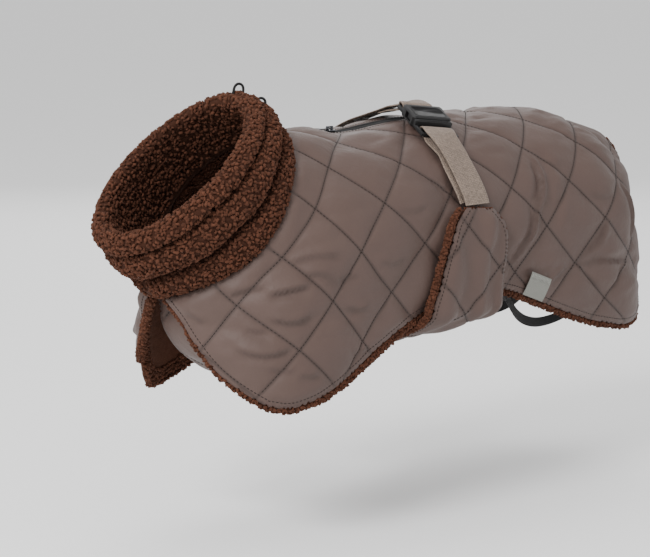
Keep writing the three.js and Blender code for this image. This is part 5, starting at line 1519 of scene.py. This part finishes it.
def line_spots(line):
    """The same along one line, at an even pitch."""
    line = smooth_line(line, max(4, round(lengths_along(line)[-1] / STITCH_PITCH)))
    ahead = line + unit(np.gradient(line, axis=0)) * STITCH_LENGTH / 2
    return line, ahead


def sew(name, spots, place, height):
    """Thread over the cloth: origins at the cloth's own height, pointing along the line."""
    middle, ahead = (np.concatenate(parts) for parts in zip(*spots))
    lift = height(*middle.T) + 0.1
    origins = place(*middle.T, lift)
    forward = unit(place(*ahead.T, lift) - origins)
    normals = unit(place(*middle.T, lift + 1) - origins)
    return repeat(name, origins, forward, normals, STITCH_LENGTH, STITCH_THICK, thread)


near_hem = widened(side_line(SHELL_CUT[0], -1), -HEM_STITCH)
far_hem = widened(side_line(SHELL_CUT[1], 1), -HEM_STITCH)
round_slit = slit_outline(SLIT_HALF + SLIT_STITCH, ZIP_FRONT - SLIT_STITCH, ZIP_REAR + SLIT_STITCH)
back_spots = [quilting_spots(shell_outline, BACK_PATTERN, BACK_CLEAR, holes=[slit]),
              line_spots(near_hem), line_spots(far_hem), line_spots(round_slit)]
flap_hems = [widened(even_rows(rows), -FLAP_STITCH) * [1, sign]
             for rows in (BELLY_EDGE[3:], FLAP_FRONT) for _, sign in SIDES]
belly_spots = [quilting_spots(belly_outline, BELLY_PATTERN, BELLY_CLEAR)]
belly_spots += [line_spots(hem) for hem in flap_hems]
back_stitches = sew("stitches_back", back_spots, on_coat, shell_height)
belly_stitches = sew("stitches_belly", belly_spots, on_belly, belly_height)
print("stitches:", triangle_count["stitches_back"] + triangle_count["stitches_belly"], "triangles")

# %% [markdown]
# The leash slit closes with a fine coil zip, shown as in the photograph. Each half is a woven
# tape with coil teeth along its inner edge. A tape is an oblong section that narrows with the
# slit at both ends, and the teeth are capsules square to it.

# %% The zip
TAPE_INNER, TAPE_LOW, TAPE_HIGH, TAPE_STEPS = 3, -0.6, 1.2, 90
TAPE_FROM, TAPE_TO = 0.06, 0.94
TOOTH_PITCH, TOOTH_LENGTH, TOOTH_THICK = 1.5, 2.6, 0.5
MIDDLE_GIRTH = 0.001  # just beside the spine, where the form's two halves meet


def zip_half(side_name, sign):
    """Tape and teeth of one side, as functions of the share along the slit."""
    share = np.linspace(TAPE_FROM, TAPE_TO, TAPE_STEPS)
    along = ZIP_FRONT + (ZIP_REAR - ZIP_FRONT) * share
    outer = SLIT_HALF * np.sin(math.pi * share) ** SLIT_ROUND - 0.7
    inner = TAPE_INNER * np.sin(math.pi * share) ** 0.5
    corners = ((inner, TAPE_LOW), (outer, TAPE_LOW - 0.1), (outer, TAPE_HIGH - 0.1), (inner, TAPE_HIGH))
    section = np.stack([np.stack([edge, np.full(len(share), high)], axis=1) for edge, high in corners],
                       axis=1) * [-sign, 1]
    at, up = on_coat(along, np.full(len(along), MIDDLE_GIRTH)), outward(form, along, MIDDLE_GIRTH)
    points, sets = swept(at, up, section)
    walked = lengths_along(at)
    uv = np.stack([section[..., 0].ravel(), np.repeat(walked, 4)], axis=1)
    tape_piece = make_piece(f"zip_tape_{side_name}_woven", points, sets, tape, uv=uv)
    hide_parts(f"zip_tape_{side_name}")
    count = round(walked[-1] / TOOTH_PITCH)
    spot = np.linspace(0.02, 0.98, count) * walked[-1]
    middle = np.stack([np.interp(spot, walked, axis) for axis in at.T], axis=1)
    edge = np.interp(spot, walked, inner)
    normal = outward(form, np.interp(spot, walked, along), MIDDLE_GIRTH)
    origins = middle + np.array([0, sign, 0]) * (edge + 0.1)[:, None] + normal * (TAPE_HIGH + 0.1)
    forward = np.broadcast_to([0.0, float(sign), 0.0], origins.shape)
    repeat(f"zip_teeth_{side_name}", origins, forward, normal, TOOTH_LENGTH, TOOTH_THICK, plastic)


for side_name, sign in SIDES:
    zip_half(side_name, sign)
print("zip teeth:", triangle_count["zip_teeth_near"] + triangle_count["zip_teeth_far"], "triangles")

# %% [markdown]
# The woven label is sewn over the near hem by a zig-zag stitch along its top. It is bare: satin
# weave, pressed edges and the stitch are all it has. Its underside is a parabola fitted to the
# highest points of the cloth below it and raised clear of them, and its free end curls a little.

# %% The label
LABEL_CORNERS = np.array([[(17, -189.5), (44, -199.5)], [(9.5, -210), (36.5, -220)]], float)
LABEL_THICK, LABEL_CLEAR, LABEL_CURL = 0.8, 0.9, 0.5
LABEL_SIZE, LABEL_GRID, REST_GRID = (28, 16), (50, 30), 24
ZIG_STEPS, ZIG_HIGH, ZIG_LOW = 27, 0.07, 0.26


def label_flat(across, down):
    """Cloth coordinates of a point on the label: its four corners, mixed by the two shares."""
    top = LABEL_CORNERS[0, 0] + (LABEL_CORNERS[0, 1] - LABEL_CORNERS[0, 0]) * across[:, None]
    base = LABEL_CORNERS[1, 0] + (LABEL_CORNERS[1, 1] - LABEL_CORNERS[1, 0]) * across[:, None]
    return top + (base - top) * down[:, None]


def label_rest():
    """The cloth's highest points under the label, as a parabola from its top to its free end."""
    share = np.linspace(0, 1, REST_GRID)
    across, down = (grid.ravel() for grid in np.meshgrid(share, share, indexing="ij"))
    flat = label_flat(across, down)
    under = np.where(nearest_on(shell_outline, flat)[2], shell_height(*flat.T), SHELL_THICK)
    return np.polyfit(share, under.reshape(REST_GRID, REST_GRID).max(0), 2)


label_slope = label_rest()


def label_height(across, down):
    """Height of the label's underside over the form, with its free end curling out."""
    curl = LABEL_CURL * ease(down, 0.5, 1) * np.cos(6 * across)
    return np.polyval(label_slope, down) + LABEL_CLEAR + curl


across, down = (grid.ravel() for grid in np.meshgrid(
    *[np.linspace(0, 1, count) for count in LABEL_GRID], indexing="ij"))
flat = label_flat(across, down)
base = label_height(across, down)
border = np.minimum(np.minimum(across, 1 - across) * LABEL_SIZE[0],
                    np.minimum(down, 1 - down) * LABEL_SIZE[1])
thick = LABEL_THICK - 0.25 * ease(border, 1.2, 2.2) - 0.3 * (1 - ease(border, 0, 0.5))
points, sets = slab(on_coat(*flat.T, base + thick), on_coat(*flat.T, base),
                    grid_faces(*LABEL_GRID)[:, ::-1])
label_uv = np.stack([across * LABEL_SIZE[0], down * LABEL_SIZE[1]], axis=1)
label = make_piece("label_satin_bare", points, sets, satin,
                   uv=np.concatenate([label_uv, label_uv]))
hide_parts("label")

zig = np.linspace(0.04, 0.96, ZIG_STEPS)
zag = np.where(np.arange(ZIG_STEPS) % 2, ZIG_HIGH, ZIG_LOW)
ends = on_coat(*label_flat(zig, zag).T, label_height(zig, zag) + LABEL_THICK + 0.05)
middle, step = (ends[1:] + ends[:-1]) / 2, np.diff(ends, axis=0)
normal = outward(form, *label_flat(zig[:-1], zag[:-1]).T)
repeat("label_stitches", middle, unit(step), normal, float(np.linalg.norm(step, axis=1).mean()) * 1.05,
       0.42, pale_thread)
print("label:", triangle_count["label_satin_bare"], "triangles")

# %% [markdown]
# A leg elastic starts inside the hem, hangs below it in a long bow that turns inwards, and ends
# inside the rear lobe. It is flat ribbed elastic that stands on edge, and a plastic glide sets its
# length. The elastic is a thin oblong carried along the route.

# %% Leg elastics
ELASTIC_HALF, ELASTIC_CORNERS, ELASTIC_STEPS = (4.5, 0.7), 20, 160
LEG_START = [(-38, 190, -6.6), (-27, 191, -7.2), (-15, 194, -9.4)]
LEG_ROUTE = [(6, -82, -150), (24, -73, -163), (46, -61, -175), (72, -50, -185), (104, -40, -191),
             (138, -36, -189), (166, -38, -180), (186, -44, -165)]
LEG_END = [(195, 208, -12.5), (202, 198, -10.9)]


def leg_elastic(side_name, sign):
    """An elastic along its route: sewn stretches on the form, a free stretch between them."""
    sewn = [on_coat(*(np.array(rows) * [1, sign, 1]).T) for rows in (LEG_START, LEG_END)]
    free = np.array(LEG_ROUTE) * [1, -sign, 1]
    line = smooth_line(np.concatenate([sewn[0], free, sewn[1]]), ELASTIC_STEPS)
    walked = lengths_along(line)
    tangent = unit(np.gradient(line, axis=0))
    section = rounded(*ELASTIC_HALF, ELASTIC_CORNERS, 0.5)
    points, sets = swept(line, unit(np.cross(tangent, [0, 0, 1])), section)
    uv = np.stack([np.tile(section[:, 0], len(line)), np.repeat(walked, len(section))], axis=1)
    piece = make_piece(f"elastic_{side_name}", points, sets, elastic, uv=uv)
    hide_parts(f"leg_elastic_{side_name}")
    print("elastic", side_name, "is", round(walked[-1]), "mm long")


for side_name, sign in SIDES:
    leg_elastic(side_name, sign)

# %% [markdown]
# Two loops of the collar's drawcord stand out of the fleece at the back of the neck. A loop is a round
# braided cord that comes out, bends over and goes back in. Each loop's length is printed.

# %% Drawcord loops
CORD_RADIUS, CORD_SIDES = 1.15, 12
CORD_ROOT, CORD_STEPS = 5.5, 60
CORD_LOOPS = {  # foot x and z, lean, half width, rise, y
    "cord_loop_top": (-239.6, 37.4, (0.28, 0.96), 4, 9.5, 2),
    "cord_loop_low": (-218.4, 25.0, (0.5, 0.86), 4, 9.5, -1),
}


def cord_loop(node, x, z, lean, half, rise, y):
    """Half a turn: across by a cosine, up by a sine to the power 0.75, with straight roots."""
    lean = unit(np.array([lean[0], 0, lean[1]]))
    across = unit(np.array([lean[2], -0.5, -lean[0]]))
    angle = np.linspace(0, math.pi, 21)[:, None]
    arc = (np.array([x, y, z]) - across * half * np.cos(angle) * (1 + 0.25 * np.sin(angle))
           + lean * rise * np.sin(angle) ** 0.75)
    roots = [arc[:1] - lean * CORD_ROOT, arc[-1:] - lean * CORD_ROOT]
    line = smooth_line(np.concatenate([roots[0], arc, roots[1]]), CORD_STEPS)
    section = rounded(CORD_RADIUS, CORD_RADIUS, CORD_SIDES)
    points, sets = swept(line, np.broadcast_to(np.cross(across, lean), line.shape), section)
    walked = lengths_along(line)
    round_cord = np.arange(CORD_SIDES) * 0.6
    uv = np.stack([np.tile(round_cord, len(line)), np.repeat(walked, CORD_SIDES)], axis=1)
    piece = make_piece(node + "_braided", points, sets, braid, uv=uv)
    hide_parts(node)
    print(node, "is", round(float(walked[-1]), 1), "mm long")


for node, sizes in CORD_LOOPS.items():
    cord_loop(node, *sizes)

# %% [markdown]
# The panels' flat areas come from their outlines. The collar is cut as a straight strip, sewn into a tube
# and pushed down.


# %% [markdown]
# The stage is plain: a pale floor below the coat, a white world, and large soft lights. The key
# light stands to the left of the camera and higher, and the others fill the shadows.

# %% Stage and light
FLOOR_LEVEL, FLOOR_HALF = -0.34, 40
WORLD_LIGHT = 1.0
COAT_MIDDLE = (-0.07, 0, -0.09)


def stage_floor():
    """A large square at floor level."""
    mesh = bpy.data.meshes.new("floor")
    corners = [(x * FLOOR_HALF, y * FLOOR_HALF, FLOOR_LEVEL)
               for x, y in ((-1, -1), (1, -1), (1, 1), (-1, 1))]
    mesh.from_pydata(corners, [], [(0, 1, 2, 3)])
    floor = bpy.data.objects.new("floor", mesh)
    bpy.context.scene.collection.objects.link(floor)
    paint = Finish("floor_paint", 0.8)
    paint.shader.inputs["Base Color"].default_value = (0.9, 0.9, 0.9, 1)
    mesh.materials.append(paint.material)


def soft_light(name, place, size, watts):
    """A square area light that looks at the coat's middle."""
    data = bpy.data.lights.new(name, "AREA")
    data.size = size
    data.energy = watts
    light = bpy.data.objects.new(name, data)
    bpy.context.scene.collection.objects.link(light)
    light.location = place
    light.rotation_mode = "QUATERNION"
    light.rotation_quaternion = (Vector(COAT_MIDDLE) - Vector(place)).to_track_quat("-Z", "Y")


stage_floor()
soft_light("key", (-2.0, -0.6, 1.3), 0.8, 62)
soft_light("fill", (0.9, -2.0, 0.7), 1.6, 6)
soft_light("top", (0.1, 0.5, 1.9), 1.2, 12)
soft_light("back", (1.2, 1.6, 0.8), 1.4, 10)
world = bpy.data.worlds.new("studio")
world.use_nodes = True
world.node_tree.nodes["Background"].inputs["Color"].default_value = (1, 1, 1, 1)
world.node_tree.nodes["Background"].inputs["Strength"].default_value = WORLD_LIGHT
bpy.context.scene.world = world
print("stage ready")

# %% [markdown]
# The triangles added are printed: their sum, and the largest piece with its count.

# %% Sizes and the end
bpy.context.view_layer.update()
print("triangles added:", sum(triangle_count.values()), "largest:",
      max(triangle_count, key=triangle_count.get), max(triangle_count.values()))
